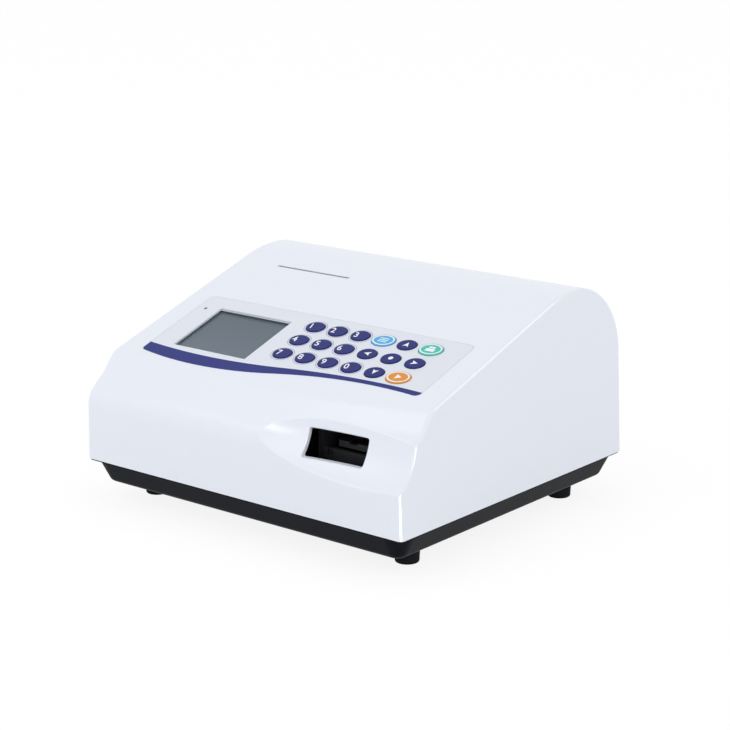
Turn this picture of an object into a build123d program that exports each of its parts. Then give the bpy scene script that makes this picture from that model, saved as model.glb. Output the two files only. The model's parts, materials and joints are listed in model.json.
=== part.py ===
from build123d import *
from math import acos, atan2, cos, degrees, hypot, pi, radians, sin, sqrt, tan
import os

# A bench urine analyzer. X runs to the right seen from the front, the front faces -Y, Z is up,
# and the origin is on the ground under the middle of the cover's footprint. Millimetres.

# The case as a whole
WIDTH = 270.0
DEPTH = 240.0
HEIGHT = 149.0
FOOT_HEIGHT = 12.0
TRAY_HEIGHT = 16.65
WALL = 3.0
SIDE_DRAFT = 1.75
BACK_LEAN = 1.7
BACK_RADIUS = 50.0
CROWN_RADIUS = 99.4
PANEL_ANGLE = 18.7
EDGE_RADIUS = 3.0
SEAM_Z = FOOT_HEIGHT + TRAY_HEIGHT
FRONT_Y = -DEPTH / 2
BACK_Y = DEPTH / 2

# The stepped brow above the front wall, measured back from the front wall
BROW_SETBACK = 22.5
BROW_BOW_X = -50.0
BROW_BOW_RADIUS = 1750.0
BROW_TO_CREASE = 9.0
SHOULDER_Z = 73.5
STEP_LEFT = 2.2
STEP_RIGHT = 4.7
STEP_LEFT_START = -50.0
STEP_RIGHT_START = 35.0
SHOULDER_ROUND = 8.0
CREASE_ROUND = 2.0
BROW_ROUND = 3.5
FRONT_JOIN = 40.0
SECTION_COUNT = 9

# The scoop round the strip port, an ellipsoid lying across the front
SCOOP_FROM_SIDE = 33.5
SCOOP_OUT = 21.5
SCOOP_Z = 89.0
SCOOP_LENGTH = 114.5
SCOOP_RADIUS = 39.4
SCOOP_EDGE_RADIUS = 2.0
PORT_FROM_SIDE = 61.0
PORT_Z = 73.0
PORT_WIDTH = 44.2
PORT_HEIGHT = 17.0
PORT_CORNER = 1.5
PORT_RIM_RADIUS = 1.0

# The printed sheet let into the sloping panel, along (x) and up (s) the panel
SHEET_WIDTH = 226.8
SHEET_TOP = -18.5
SHEET_THICK = 0.8
SHEET_CORNER = 5.0
SHEET_TIP_CORNER = 4.0
SHEET_GAP = 0.2
VALLEY_X = -63.0
VALLEY_S = -97.5
VALLEY_RADIUS = 265.0
HILL_X = 80.0
HILL_S = -79.85
WINDOW_X = -62.35
WINDOW_S = -55.5
WINDOW_WIDTH = 64.0
WINDOW_HEIGHT = 49.5
WINDOW_LEDGE = 1.5
WINDOW_TOP_GAP = 0.1
PANE_THICK = 1.3
PANE_GAP = 0.2
LED_X = -105.7
LED_S = -34.6
LED_RADIUS = 1.0
LED_FLANGE = 1.6
LED_PROUD = 0.1

# Keys and what is under them, n is the depth along the panel's outward normal
KEY_X = -8.32
KEY_S = -32.04
KEY_PITCH_X = 19.116
KEY_PITCH_S = 17.376
KEY_LENGTH = 14.3
KEY_BREADTH = 11.7
LARGE_KEY_LENGTH = 17.8
LARGE_KEY_BREADTH = 13.4
KEY_GAP = 0.3
KEY_PROUD = 0.8
KEY_EDGE = 0.5
KEY_THICK = 2.3
KEY_TRAVEL = 0.5
KEY_STOP_GAP = 0.1
STEM_RADIUS = 2.2
STEM_LENGTH = 2.4
STEM_GAP = 0.3
SWITCH_SIZE = 6.0
SWITCH_HEIGHT = 3.1
SWITCH_BUTTON = 1.6
SWITCH_BUTTON_HEIGHT = 0.4
SWITCH_GAP = 0.6
BOARD_THICK = 1.6
KEYPAD_BOARD_WIDTH = 216.0
KEYPAD_BOARD_HEIGHT = 70.5
KEYPAD_BOARD_X = -1.8
KEYPAD_BOARD_S = -55.8
LCD_BORDER = 4.0
LCD_TOP_GAP = 0.3
LCD_GLASS = 0.9
LCD_GLASS_MARGIN = 0.5

# Fasteners
SCREW_RADIUS = 1.5
SCREW_HEAD = 2.8
SCREW_HEAD_HEIGHT = 2.0
SCREW_GAP = 0.1
SCREW_GRIP = 5.0
BOSS_RADIUS = 4.0
CASE_BOSS_RADIUS = 5.0
CASE_BOSS_INSET = 17.0
CASE_BOSS_FRONT = 54.0
CASE_BOSS_BACK = 58.0
CASE_BOSS_HEIGHT = 18.0
CASE_HEAD_DEPTH = 8.0
COUNTERBORE_GAP = 0.6

# Tray and feet
TRAY_TOP_INSET = 1.2
TRAY_BOTTOM_INSET = 9.6
TRAY_WALL = 2.5
TRAY_FLOOR = 3.0
TRAY_CORNER = 6.0
TRAY_EDGE = 5.5
TRAY_RIM_THICK = 1.2
TRAY_RIM_CORNER = 2.0
LIP_HEIGHT = 3.3
LIP_THICK = 1.8
LIP_GAP = 0.4
FOOT_RADIUS = 8.3
FOOT_TIP_RADIUS = 7.7
FOOT_EDGE = 1.2
FOOT_INSET_X = 26.5
FOOT_INSET_FRONT = 39.0
FOOT_INSET_BACK = 35.0
FOOT_SCREW_DEPTH = 6.0

# The strip transport behind the port
GUIDE_WALL = 3.0
GUIDE_WIDTH = 50.0
GUIDE_FRONT = 25.0
GUIDE_LENGTH = 125.0
GUIDE_FLOOR_Z = 38.0
GUIDE_TOP_OVER_PORT = 2.0
MOUTH_WIDTH = 41.0
MOUTH_RAISE = 2.5
MOUTH_LINTEL = 1.0
STRIP_TRAY_WIDTH = 26.0
STRIP_TRAY_LENGTH = 110.0
STRIP_TRAY_HEIGHT = 4.0
STRIP_TRAY_RAISE = 3.5
STRIP_TRAY_SET = 4.0
STRIP_GROOVE = 6.4
STRIP_GROOVE_DEPTH = 1.2
STRIP_GROOVE_END = 3.0
STRIP_PAD_PLACE = 8.0
STRIP_DRAIN_FRONT = 16.0
STRIP_DRAIN_BACK = 6.0
STRIP_TRAY_CORNER = 2.0
SLIDE_GAP = 0.3
CARRIAGE_WIDTH = 37.0
CARRIAGE_LENGTH = 62.0
CARRIAGE_HEIGHT = 6.7
CARRIAGE_LIP = 2.8
CARRIAGE_TRAVEL = 50.0
CARRIAGE_FRONT_GAP = 2.0
ROD_RADIUS = 2.0
ROD_SPACING = 31.0
ROD_DROP = 3.3
FIT = 0.05
TRAY_MODULE = 1.0
TRAY_TEETH = 16
TRAY_GEAR_WIDTH = 8.0
TRAY_SHAFT_RADIUS = 1.5
RACK_WIDTH = 7.0
RACK_OFFSET = 12.0
PINION_BEHIND_FRONT = 6.0
STEPPER_RADIUS = 17.5
STEPPER_LENGTH = 22.0
STEPPER_EDGE = 1.0
SHAFT_GRIP = 6.0
OPTICS_LENGTH = 38.0
OPTICS_HEIGHT = 18.0
OPTICS_HEADROOM = 5.75
OPTICS_CHAMFER = 3.0
LENS_RADIUS = 6.0
LENS_DEPTH = 4.0
SENSOR_BOARD_MARGIN = 5.0
SENSOR_PLUG_WIDTH = 6.0
SENSOR_PLUG_HEIGHT = 2.0
SENSOR_PLUG_INSET = 2.0
SENSOR_PLUG_END = 4.0

# The thermal printer under its slot
SLOT_X = -62.0
SLOT_S = 31.0
SLOT_WIDTH = 64.8
SLOT_BREADTH = 1.6
PLATEN_RADIUS = 5.0
PLATEN_LENGTH = 62.0
PLATEN_DEPTH = 14.0
PLATEN_SHAFT = 1.5
HEAD_GAP = 0.3
HEAD_THICK = 6.0
HEAD_TALL = 11.5
HEAD_DEPTH = 8.5
PLATE_THICK = 2.0
PRINTER_INSIDE = 66.0
PRINTER_BASE_Z = 52.0
PRINTER_BASE_THICK = 3.0
PRINTER_BACK_Y = 104.0
PRINTER_BASE_LENGTH = 48.0
PLATE_OVER_PLATEN = 3.0
PLATE_BACK_REACH = 12.0
PLATE_BACK_RISE = 2.0
PLATE_HEAD_REACH = 6.0
PLATE_HEAD_RISE = 1.0
PLATE_MOTOR_REACH = 4.0
PLATE_MOTOR_DROP = 2.0
PLATE_FRONT_REACH = 6.0
PLATE_FRONT_RISE = 10.0
SHAFT_PROUD = 1.0
GEAR_MODULE = 0.8
GEAR_WIDTH = 3.0
GEAR_SIDE_GAP = 0.5
GEAR_BACKLASH = 0.2
PRESSURE_ANGLE = 20.0
TOOTH_TIP = 0.8
PLATEN_TEETH = 16
IDLER_TEETH = 24
MOTOR_TEETH = 10
IDLER_DIRECTION = -75.0
MOTOR_DIRECTION = -150.0
PRINTER_MOTOR_RADIUS = 9.0
PRINTER_MOTOR_LENGTH = 18.0
MOTOR_SHAFT_RADIUS = 1.0
ROLL_Y = 82.0
ROLL_Z = 76.0
ROLL_RADIUS = 20.0
ROLL_WIDTH = 57.0
SPINDLE_RADIUS = 6.0
SPINDLE_END_RADIUS = 3.0
SPINDLE_SIDE_GAP = 1.0
ROLL_GAP = 0.35

# The rear paper door
DOOR_WIDTH = 76.0
DOOR_HINGE_Z = 50.6
DOOR_TOP_Z = 98.0
DOOR_THICK = 3.6
DOOR_BARREL = 2.9
DOOR_GAP = 0.4
DOOR_NOTCH = 9.0
DOOR_NOTCH_DEPTH = 1.4
DOOR_NOTCH_TALL = 6.0
EAR_WIDTH = 4.0
EAR_RADIUS = 3.4
HINGE_PIN_RADIUS = 1.0
HINGE_PIN_GRIP = 6.0

# The rear panel in its pocket, with the connectors
REAR_FROM_SIDE = 67.0
REAR_Z = 62.0
REAR_WIDTH = 98.0
REAR_HEIGHT = 44.0
REAR_THICK = 1.2
REAR_RECESS = 8.0
REAR_FLANGE = 6.0
REAR_GAP = 0.4
REAR_SCREW_INSET = 3.5
INLET_OFFSET = 28.0
INLET_WIDTH = 27.0
INLET_HEIGHT = 19.5
INLET_RIM = 2.0
INLET_DEPTH = 20.0
INLET_SOCKET_DEPTH = 17.0
INLET_WALL = 1.5
INLET_CORNER = 2.5
INLET_PIN_WIDTH = 2.0
INLET_PIN_HEIGHT = 4.0
INLET_PIN_PITCH = 7.0
INLET_PIN_OFFSET = 2.0
INLET_PIN_SUNK = 4.0
SWITCH_OFFSET = -1.0
HOUSING_WIDTH = 14.6
HOUSING_HEIGHT = 21.0
HOUSING_WALL = 1.1
HOUSING_RIM = 2.0
HOUSING_DEPTH = 15.0
HOUSING_CORNER = 1.0
ROCKER_GAP = 0.3
ROCKER_TILT = 8.0
ROCKER_LENGTH = 16.4
ROCKER_PIVOT_DEPTH = 5.2
ROCKER_SUNK = 0.2
ROCKER_DISH = 1.3
ROCKER_HEEL = 6.0
TRUNNION_RADIUS = 1.0
TRUNNION_LENGTH = 0.8
SERIAL_OFFSET = -30.0
SERIAL_Z = 70.0
JACK_SPACING = 24.99
JACK_HOLE_RADIUS = 1.42
JACK_FLATS = 4.8
JACK_LENGTH = 4.6
USB_OFFSET = -30.0
USB_Z = 52.5
USB_WIDTH = 12.0
USB_HEIGHT = 11.0
CUTOUT_GAP = 0.2
SERIAL_BODY_WIDTH = 19.0
SERIAL_BODY_HEIGHT = 10.5
SERIAL_FLANGE_WIDTH = 31.0
SERIAL_FLANGE_HEIGHT = 12.5
SERIAL_FLANGE_THICK = 0.8
SERIAL_SHELL_WIDTH = 16.9
SERIAL_SHELL_HEIGHT = 8.3
SERIAL_SHELL_LENGTH = 5.0
SERIAL_SHELL_WALL = 0.5
SERIAL_DEPTH = 10.0
SERIAL_CORNER = 1.5
SERIAL_PIN_RADIUS = 0.5
SERIAL_PIN_PITCH = 2.77
SERIAL_ROW_OFFSET = 1.42
SERIAL_PIN_SUNK = 1.0
USB_DEPTH = 14.0
USB_PROUD = 2.5
USB_CORNER = 0.8
USB_SOCKET_WIDTH = 8.5
USB_SOCKET_HEIGHT = 7.8
USB_SOCKET_DEPTH = 9.0
USB_TONGUE_WIDTH = 5.6
USB_TONGUE_HEIGHT = 3.2
USB_TONGUE_SUNK = 1.0
FLANGE_OVER = 2.0

# Boards on the tray's floor. A main board part is x and y from its middle, width, depth and height,
# and a power supply capacitor is x and y from its middle, radius and height.
BOARD_LIFT = 7.0
BOARD_INSET = 5.0
MIDDLE_SCREW_OFFSET = 13.0
MAIN_BOARD_X = -35.0
MAIN_BOARD_Y = -25.0
MAIN_BOARD_WIDTH = 150.0
MAIN_BOARD_DEPTH = 140.0
POWER_BOARD_FROM_SIDE = 68.0
POWER_BOARD_FROM_BACK = 44.0
POWER_BOARD_WIDTH = 74.0
POWER_BOARD_DEPTH = 52.0
MAIN_BOARD_PARTS = (
    (-10.0, -20.0, 24.0, 24.0, 1.6),
    (24.0, -20.0, 12.0, 18.0, 1.2),
    (24.0, 22.0, 12.0, 18.0, 1.2),
    (-45.0, 20.0, 18.0, 14.0, 9.0),
    (-48.0, -45.0, 30.0, 7.0, 8.0),
    (50.0, -52.0, 7.0, 24.0, 8.0),
    (-20.0, 60.0, 26.0, 7.0, 8.0),
)
CAPACITOR_RADIUS = 4.0
CAPACITOR_HEIGHT = 11.0
CAPACITOR_COUNT = 4
CAPACITOR_PITCH = 11.0
CAPACITOR_ROW_X = 48.0
CAPACITOR_ROW_Y = 10.0
TRANSFORMER_X = -1.0
TRANSFORMER_Y = -7.0
TRANSFORMER_WIDTH = 30.0
TRANSFORMER_DEPTH = 26.0
TRANSFORMER_HEIGHT = 24.0
TRANSFORMER_CORNER = 2.0
STORE_CAPACITOR = (25.0, -10.0, 8.0, 20.0)
OUTPUT_CAPACITOR = (-26.0, -12.0, 5.0, 16.0)
HEAT_SINK_WIDTH = 40.0
HEAT_SINK_THICK = 3.0
HEAT_SINK_HEIGHT = 18.0
HEAT_SINK_Y = 14.5
RIBBON_THICK = 0.8
RIBBON_BEND = 6.0
RIBBON_GAP = 0.3
SOCKET_HEIGHT = 6.0
SOCKET_DEPTH = 6.0
SOCKET_WALL = 1.0
KEYPAD_RIBBON_X = -13.0
KEYPAD_RIBBON_WIDTH = 18.0
KEYPAD_RIBBON_RUN = 24.0
HEAD_RIBBON_X = -66.0
HEAD_RIBBON_WIDTH = 16.0
HEAD_RIBBON_RUN = 16.0

# Places that follow from the sizes above
SIN_P = sin(radians(PANEL_ANGLE))
COS_P = cos(radians(PANEL_ANGLE))
TAN_P = tan(radians(PANEL_ANGLE))
CROWN_Y = BACK_Y - BACK_LEAN - BACK_RADIUS
BACK_ARC_Z = HEIGHT - BACK_RADIUS
PANEL_Z = HEIGHT + CROWN_RADIUS * (1 / COS_P - 1) - TAN_P * CROWN_Y
PANEL = Plane(origin=(0, 0, PANEL_Z), x_dir=(1, 0, 0), z_dir=(0, -SIN_P, COS_P))
FLOOR_Z = FOOT_HEIGHT + TRAY_FLOOR
CAVITY_Z = SEAM_Z - 8.0
KEY_BOTTOM = KEY_PROUD - KEY_THICK
POCKET_BOTTOM = KEY_BOTTOM - KEY_TRAVEL - KEY_STOP_GAP
STEM_BOTTOM = KEY_BOTTOM - STEM_LENGTH
SWITCH_TOP = STEM_BOTTOM - SWITCH_GAP
BOARD_TOP = SWITCH_TOP - SWITCH_BUTTON_HEIGHT - SWITCH_HEIGHT
BOARD_BOTTOM = BOARD_TOP - BOARD_THICK
PANE_TOP = -SHEET_THICK - WINDOW_TOP_GAP
REAR_SEAT_Y = BACK_Y - REAR_RECESS
REAR_FACE_Y = REAR_SEAT_Y + REAR_THICK
PRINTER_X = SLOT_X
SCOOP_X = WIDTH / 2 - SCOOP_FROM_SIDE
PORT_X = WIDTH / 2 - PORT_FROM_SIDE
REAR_X = WIDTH / 2 - REAR_FROM_SIDE
INLET_X = REAR_X + INLET_OFFSET
SWITCH_X = REAR_X + SWITCH_OFFSET
SERIAL_X = REAR_X + SERIAL_OFFSET
USB_X = REAR_X + USB_OFFSET
POWER_BOARD_X = WIDTH / 2 - POWER_BOARD_FROM_SIDE
POWER_BOARD_Y = BACK_Y - POWER_BOARD_FROM_BACK


def panel_height(y):
    """Height of the sloping panel's plane at y."""
    return PANEL_Z + TAN_P * y


def on_panel(x, s, n=0.0):
    """A location on the sloping panel: x across, s up the slope, n out of it."""
    return PANEL.location * Pos(x, s, n)


def panel_yz(s, n):
    """The panel coordinates s and n as y and z."""
    return s * COS_P - n * SIN_P, PANEL_Z + s * SIN_P + n * COS_P


def back_wall_y(z):
    """The leaning back wall's outer face at height z."""
    return BACK_Y - BACK_LEAN * (z - SEAM_Z) / (BACK_ARC_Z - SEAM_Z)


def span_box(x0, x1, y0, y1, z0, z1):
    """A box between two corners."""
    return Pos((x0 + x1) / 2, (y0 + y1) / 2, (z0 + z1) / 2) * Box(x1 - x0, y1 - y0, z1 - z0)


def along_x(radius, x0, x1, y, z):
    """A round bar along X."""
    return Pos((x0 + x1) / 2, y, z) * Rot(0, 90, 0) * Cylinder(radius, x1 - x0)


def along_y(radius, x, y0, y1, z):
    """A round bar along Y."""
    return Pos(x, (y0 + y1) / 2, z) * Rot(90, 0, 0) * Cylinder(radius, y1 - y0)


def along_z(radius, x, y, z0, z1):
    """A round bar along Z."""
    return Pos(x, y, (z0 + z1) / 2) * Cylinder(radius, z1 - z0)


def union(solids):
    """All the solids joined."""
    solids = list(solids)
    total = solids[0]
    for solid in solids[1:]:
        total += solid
    return total


def screw(length):
    """A pan-head screw pointing down, with the head's underside at the origin."""
    head = Pos(0, 0, SCREW_HEAD_HEIGHT / 2) * Cylinder(SCREW_HEAD, SCREW_HEAD_HEIGHT)
    head = fillet(head.edges().group_by(Axis.Z)[-1], SCREW_HEAD_HEIGHT / 3)
    slot = Pos(0, 0, SCREW_HEAD_HEIGHT) * Box(SCREW_HEAD * 1.4, SCREW_RADIUS / 2, SCREW_HEAD_HEIGHT)
    cross = slot + Rot(0, 0, 90) * slot
    return head + Pos(0, 0, -length / 2) * Cylinder(SCREW_RADIUS, length) - cross


# Form of the case, at an inset from its outer surface


def corner_points(x, base_z):
    """The front's corners at x, from the lower edge up to the panel."""
    brow = FRONT_Y + BROW_SETBACK + (x - BROW_BOW_X) ** 2 / (2 * BROW_BOW_RADIUS)
    crease = brow - BROW_TO_CREASE
    brow_z = panel_height(brow)
    run = (crease - FRONT_Y) / (brow - FRONT_Y)
    reach = WIDTH / 2
    left = ease((STEP_LEFT_START - x) / (reach + STEP_LEFT_START))
    right = ease((x - STEP_RIGHT_START) / (reach - STEP_RIGHT_START))
    depth = STEP_LEFT * left + STEP_RIGHT * right
    crease_z = SHOULDER_Z + (brow_z - SHOULDER_Z) * run - depth
    join = FRONT_Y + FRONT_JOIN
    foot = [(FRONT_Y, base_z), (FRONT_Y, SHOULDER_Z)]
    return foot + [(crease, crease_z), (brow, brow_z), (join, panel_height(join))]


def ease(t):
    """A smooth step from 0 to 1."""
    t = min(1.0, max(0.0, t))
    return t * t * (3 - 2 * t)


def inset_points(points, inset):
    """The outline's corners moved inwards by inset, along the bisector at each."""
    runs = [((b[0] - a[0]), (b[1] - a[1])) for a, b in zip(points, points[1:])]
    normals = [(dz / hypot(dy, dz), -dy / hypot(dy, dz)) for dy, dz in runs]
    moved = [(points[0][0] + inset, points[0][1])]
    for point, first, second in zip(points[1:-1], normals, normals[1:]):
        middle = (first[0] + second[0], first[1] + second[1])
        size = hypot(*middle)
        share = inset / ((middle[0] * first[0] + middle[1] * first[1]) / size) / size
        moved.append((point[0] + middle[0] * share, point[1] + middle[1] * share))
    moved.append((points[-1][0], points[-1][1] - inset / COS_P))
    return moved


def toward(start, end, distance):
    """The point at a distance from start on the way to end."""
    share = distance / hypot(end[0] - start[0], end[1] - start[1])
    return start[0] + (end[0] - start[0]) * share, start[1] + (end[1] - start[1]) * share


def front_section(x, inset, base_z):
    """The front's outline at x, with its three corners rounded."""
    points = inset_points(corner_points(x, base_z), inset)
    edges = []
    start = points[0]
    for index, length in enumerate((SHOULDER_ROUND, CREASE_ROUND, BROW_ROUND), 1):
        corner = points[index]
        before = toward(corner, points[index - 1], length)
        after = toward(corner, points[index + 1], length)
        edges.append(Line((x, *start), (x, *before)))
        edges.append(Bezier((x, *before), (x, *corner), (x, *after)))
        start = after
    top = points[-1]
    edges.append(Line((x, *start), (x, *top)))
    edges.append(Line((x, *top), (x, top[0], base_z)))
    edges.append(Line((x, top[0], base_z), (x, *points[0])))
    return Wire(edges)


def rear_outline(inset, base_z):
    """The outline behind the front: panel, crown, back radius and back wall."""
    crown = CROWN_RADIUS - inset
    radius = BACK_RADIUS - inset
    top = HEIGHT - inset
    half = radians(PANEL_ANGLE / 2)
    half_point = (CROWN_Y - crown * sin(half), top - crown * (1 - cos(half)))
    panel_top = (CROWN_Y - crown * SIN_P, top - crown * (1 - COS_P))
    join = FRONT_Y + FRONT_JOIN
    panel_foot = (join, panel_height(join) - inset / COS_P)
    shoulder = (CROWN_Y + radius * sin(pi / 4), BACK_ARC_Z + radius * cos(pi / 4))
    wall_top = (CROWN_Y + radius, BACK_ARC_Z)
    wall_foot = (back_wall_y(base_z) - inset, base_z)
    return make_face([
        Line((join, base_z), wall_foot),
        Line(wall_foot, wall_top),
        ThreePointArc(wall_top, shoulder, (CROWN_Y, top)),
        ThreePointArc((CROWN_Y, top), half_point, panel_top),
        Line(panel_top, panel_foot),
        Line(panel_foot, (join, base_z)),
    ])


def case_form(inset, base_z):
    """The case's outer form, or its inside at an inset."""
    reach = WIDTH / 2 + EDGE_RADIUS
    rear = extrude(Plane.YZ * rear_outline(inset, base_z), amount=reach, both=True)
    places = [reach * (2 * step / (SECTION_COUNT - 1) - 1) for step in range(SECTION_COUNT)]
    front = Solid.make_loft([front_section(x, inset, base_z) for x in places])
    lean = tan(radians(SIDE_DRAFT))
    low = WIDTH / 2 - inset + (SEAM_Z - base_z) * lean
    high = WIDTH / 2 - inset - (HEIGHT - SEAM_Z) * lean
    sides = make_face(Polyline((-low, base_z), (low, base_z), (high, HEIGHT), (-high, HEIGHT), close=True))
    return (rear + front) & extrude(Plane.XZ * sides, amount=DEPTH, both=True)


def scoop(grow=0.0):
    """The ellipsoid that hollows the front round the port."""
    length = SCOOP_LENGTH + grow
    radius = SCOOP_RADIUS + grow
    half = EllipticalCenterArc((0, 0), length, radius, start_angle=0, arc_size=180)
    spun = revolve(make_face([half, Line((-length, 0), (length, 0))]), Axis.X, 360)
    return Pos(SCOOP_X, FRONT_Y - SCOOP_OUT, SCOOP_Z) * spun


def side_chain(form):
    """The edges where the side walls meet the rest, above the lower edge."""
    limit = WIDTH / 2 - (HEIGHT - SEAM_Z) * tan(radians(SIDE_DRAFT)) - 1
    edges = form.edges().filter_by(lambda e: abs(e.center().X) > limit)
    return edges.filter_by(lambda e: e.bounding_box().max.Z > SEAM_Z + 0.01)


def scooped(form):
    """The form with the scoop cut and its edges rounded."""
    cut = form - scoop()
    side_x = WIDTH / 2 - 3 * EDGE_RADIUS
    back_y = FRONT_Y + SCOOP_OUT + EDGE_RADIUS
    low_z = SCOOP_Z - SCOOP_RADIUS + EDGE_RADIUS
    high_z = SCOOP_Z + EDGE_RADIUS
    ends = cut.edges().filter_by(lambda e: e.bounding_box().size.X < 3 * EDGE_RADIUS)
    ends = ends.filter_by(lambda e: e.center().X > side_x and e.center().Y < back_y)
    ends = ends.filter_by(lambda e: low_z < e.center().Z < high_z)
    return fillet(ends, SCOOP_EDGE_RADIUS)


def port_block():
    """The strip port's opening, through the scoop."""
    outline = RectangleRounded(PORT_WIDTH, PORT_HEIGHT, PORT_CORNER)
    return Pos(PORT_X, FRONT_Y, PORT_Z) * Rot(90, 0, 0) * extrude(outline, amount=GUIDE_FRONT, both=True)


def with_port(form):
    """The form with the port cut in and its rim rounded."""
    cut = form - port_block()
    wide = PORT_WIDTH / 2 + FIT
    tall = PORT_HEIGHT / 2 + FIT
    rim = cut.edges().filter_by(lambda e: abs(e.center().X - PORT_X) < wide)
    rim = rim.filter_by(lambda e: abs(e.center().Z - PORT_Z) < tall)
    rim = rim.filter_by(lambda e: FRONT_Y < e.center().Y < FRONT_Y + GUIDE_FRONT - FIT)
    rim = rim.filter_by(lambda e: e.bounding_box().size.X > 0.001 or e.bounding_box().size.Z > 0.001)
    return fillet(rim, PORT_RIM_RADIUS)


# The printed sheet's outline


def sheet_outline(inset=0.0):
    """The sheet's face in panel coordinates: straight sides and a lower edge of two tangent arcs."""
    half = SHEET_WIDTH / 2 - inset
    top = SHEET_TOP - inset
    rise = HILL_S - VALLEY_S
    total = ((HILL_X - VALLEY_X) ** 2 + rise ** 2) / (2 * rise)
    valley = (VALLEY_X, VALLEY_S + VALLEY_RADIUS)
    hill = (HILL_X, HILL_S - (total - VALLEY_RADIUS))
    valley_r = VALLEY_RADIUS - inset
    hill_r = total - VALLEY_RADIUS + inset
    share = valley_r / total
    meet = (valley[0] + (hill[0] - valley[0]) * share, valley[1] + (hill[1] - valley[1]) * share)

    def valley_point(x):
        return x, valley[1] - sqrt(valley_r ** 2 - (x - valley[0]) ** 2)

    def hill_point(x):
        return x, hill[1] + sqrt(hill_r ** 2 - (x - hill[0]) ** 2)

    face = make_face([
        Line((-half, top), valley_point(-half)),
        ThreePointArc(valley_point(-half), valley_point(VALLEY_X), meet),
        ThreePointArc(meet, hill_point((meet[0] + half) / 2), hill_point(half)),
        Line(hill_point(half), (half, top)),
        Line((half, top), (-half, top)),
    ])
    outer = face.vertices().filter_by(lambda v: abs(v.X) > half - 1)
    face = fillet(outer.group_by(Axis.Y)[-1], SHEET_CORNER - inset)
    tips = face.vertices().filter_by(lambda v: abs(v.X) > half - 0.01 and v.Y < HILL_S + 10)
    return fillet(tips, SHEET_TIP_CORNER - inset)


# Keys: name, column, row and whether it is one of the larger ones
KEY_ROWS = (
    ("key_1", "key_2", "key_3", "key_menu", "key_up", "key_print"),
    ("key_4", "key_5", "key_6", "key_left", "key_ok", "key_right"),
    ("key_7", "key_8", "key_9", "key_0", "key_down", "key_start"),
)
LARGE_KEYS = ("key_menu", "key_print", "key_start")
KEYS = {
    name: (KEY_X + column * KEY_PITCH_X, KEY_S - row * KEY_PITCH_S)
    for row, names in enumerate(KEY_ROWS)
    for column, name in enumerate(names)
}


def key_outline(name, gap=0.0):
    """A key's oval, with a gap round it."""
    if name in LARGE_KEYS:
        return Ellipse(LARGE_KEY_LENGTH / 2 + gap, LARGE_KEY_BREADTH / 2 + gap)
    return Ellipse(KEY_LENGTH / 2 + gap, KEY_BREADTH / 2 + gap)


def key(name):
    """A key: an oval cap with a stem through the cover."""
    cap = extrude(Pos(0, 0, KEY_BOTTOM) * key_outline(name), amount=KEY_THICK)
    cap = fillet(cap.edges().group_by(Axis.Z)[-1], KEY_EDGE)
    stem = along_z(STEM_RADIUS, 0, 0, STEM_BOTTOM, KEY_BOTTOM)
    return on_panel(*KEYS[name]) * (cap + stem)


def key_switches():
    """A push switch under each key."""
    body_top = BOARD_TOP + SWITCH_HEIGHT
    body = span_box(-SWITCH_SIZE / 2, SWITCH_SIZE / 2, -SWITCH_SIZE / 2, SWITCH_SIZE / 2, BOARD_TOP, body_top)
    one = body + along_z(SWITCH_BUTTON, 0, 0, body_top, SWITCH_TOP)
    return Compound(children=[on_panel(x, s) * one for x, s in KEYS.values()])


def board_screw_places():
    """The keypad board's six screws, in panel coordinates."""
    across = KEYPAD_BOARD_WIDTH / 2 - BOARD_INSET
    up = KEYPAD_BOARD_HEIGHT / 2 - BOARD_INSET
    columns = (KEYPAD_BOARD_X - across, WINDOW_X + WINDOW_WIDTH / 2 + MIDDLE_SCREW_OFFSET,
               KEYPAD_BOARD_X + across)
    return [(x, KEYPAD_BOARD_S + sign * up) for x in columns for sign in (-1, 1)]


def keypad_board():
    """The board under the keys, with its screw holes."""
    plate = Pos(KEYPAD_BOARD_X, KEYPAD_BOARD_S, BOARD_BOTTOM + BOARD_THICK / 2)
    plate = plate * Box(KEYPAD_BOARD_WIDTH, KEYPAD_BOARD_HEIGHT, BOARD_THICK)
    for x, s in board_screw_places():
        plate -= along_z(SCREW_RADIUS + SCREW_GAP, x, s, BOARD_BOTTOM - 1, BOARD_TOP + 1)
    return PANEL.location * plate


def lcd_module():
    """The display: a frame on the board with its glass standing up into the window."""
    frame_top = -WALL - LCD_TOP_GAP
    frame = Box(WINDOW_WIDTH + 2 * LCD_BORDER, WINDOW_HEIGHT + 2 * LCD_BORDER, frame_top - BOARD_TOP)
    frame = Pos(0, 0, (frame_top + BOARD_TOP) / 2) * frame
    glass = Box(WINDOW_WIDTH + 2 * LCD_GLASS_MARGIN, WINDOW_HEIGHT + 2 * LCD_GLASS_MARGIN, LCD_GLASS)
    glass = Pos(0, 0, frame_top + LCD_GLASS / 2) * glass
    return on_panel(WINDOW_X, WINDOW_S) * (frame + glass)


def lcd_window():
    """The clear pane, on the ledge under the sheet's opening."""
    width = WINDOW_WIDTH + 2 * (WINDOW_LEDGE - PANE_GAP)
    height = WINDOW_HEIGHT + 2 * (WINDOW_LEDGE - PANE_GAP)
    return on_panel(WINDOW_X, WINDOW_S, PANE_TOP - PANE_THICK / 2) * Box(width, height, PANE_THICK)


def status_led():
    """The small lamp, standing on the keypad board."""
    lamp = along_z(LED_RADIUS, 0, 0, BOARD_TOP, LED_PROUD)
    lamp = fillet(lamp.edges().group_by(Axis.Z)[-1], LED_RADIUS / 2)
    return on_panel(LED_X, LED_S) * (lamp + along_z(LED_FLANGE, 0, 0, BOARD_TOP, BOARD_TOP + LED_FLANGE))


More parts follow.
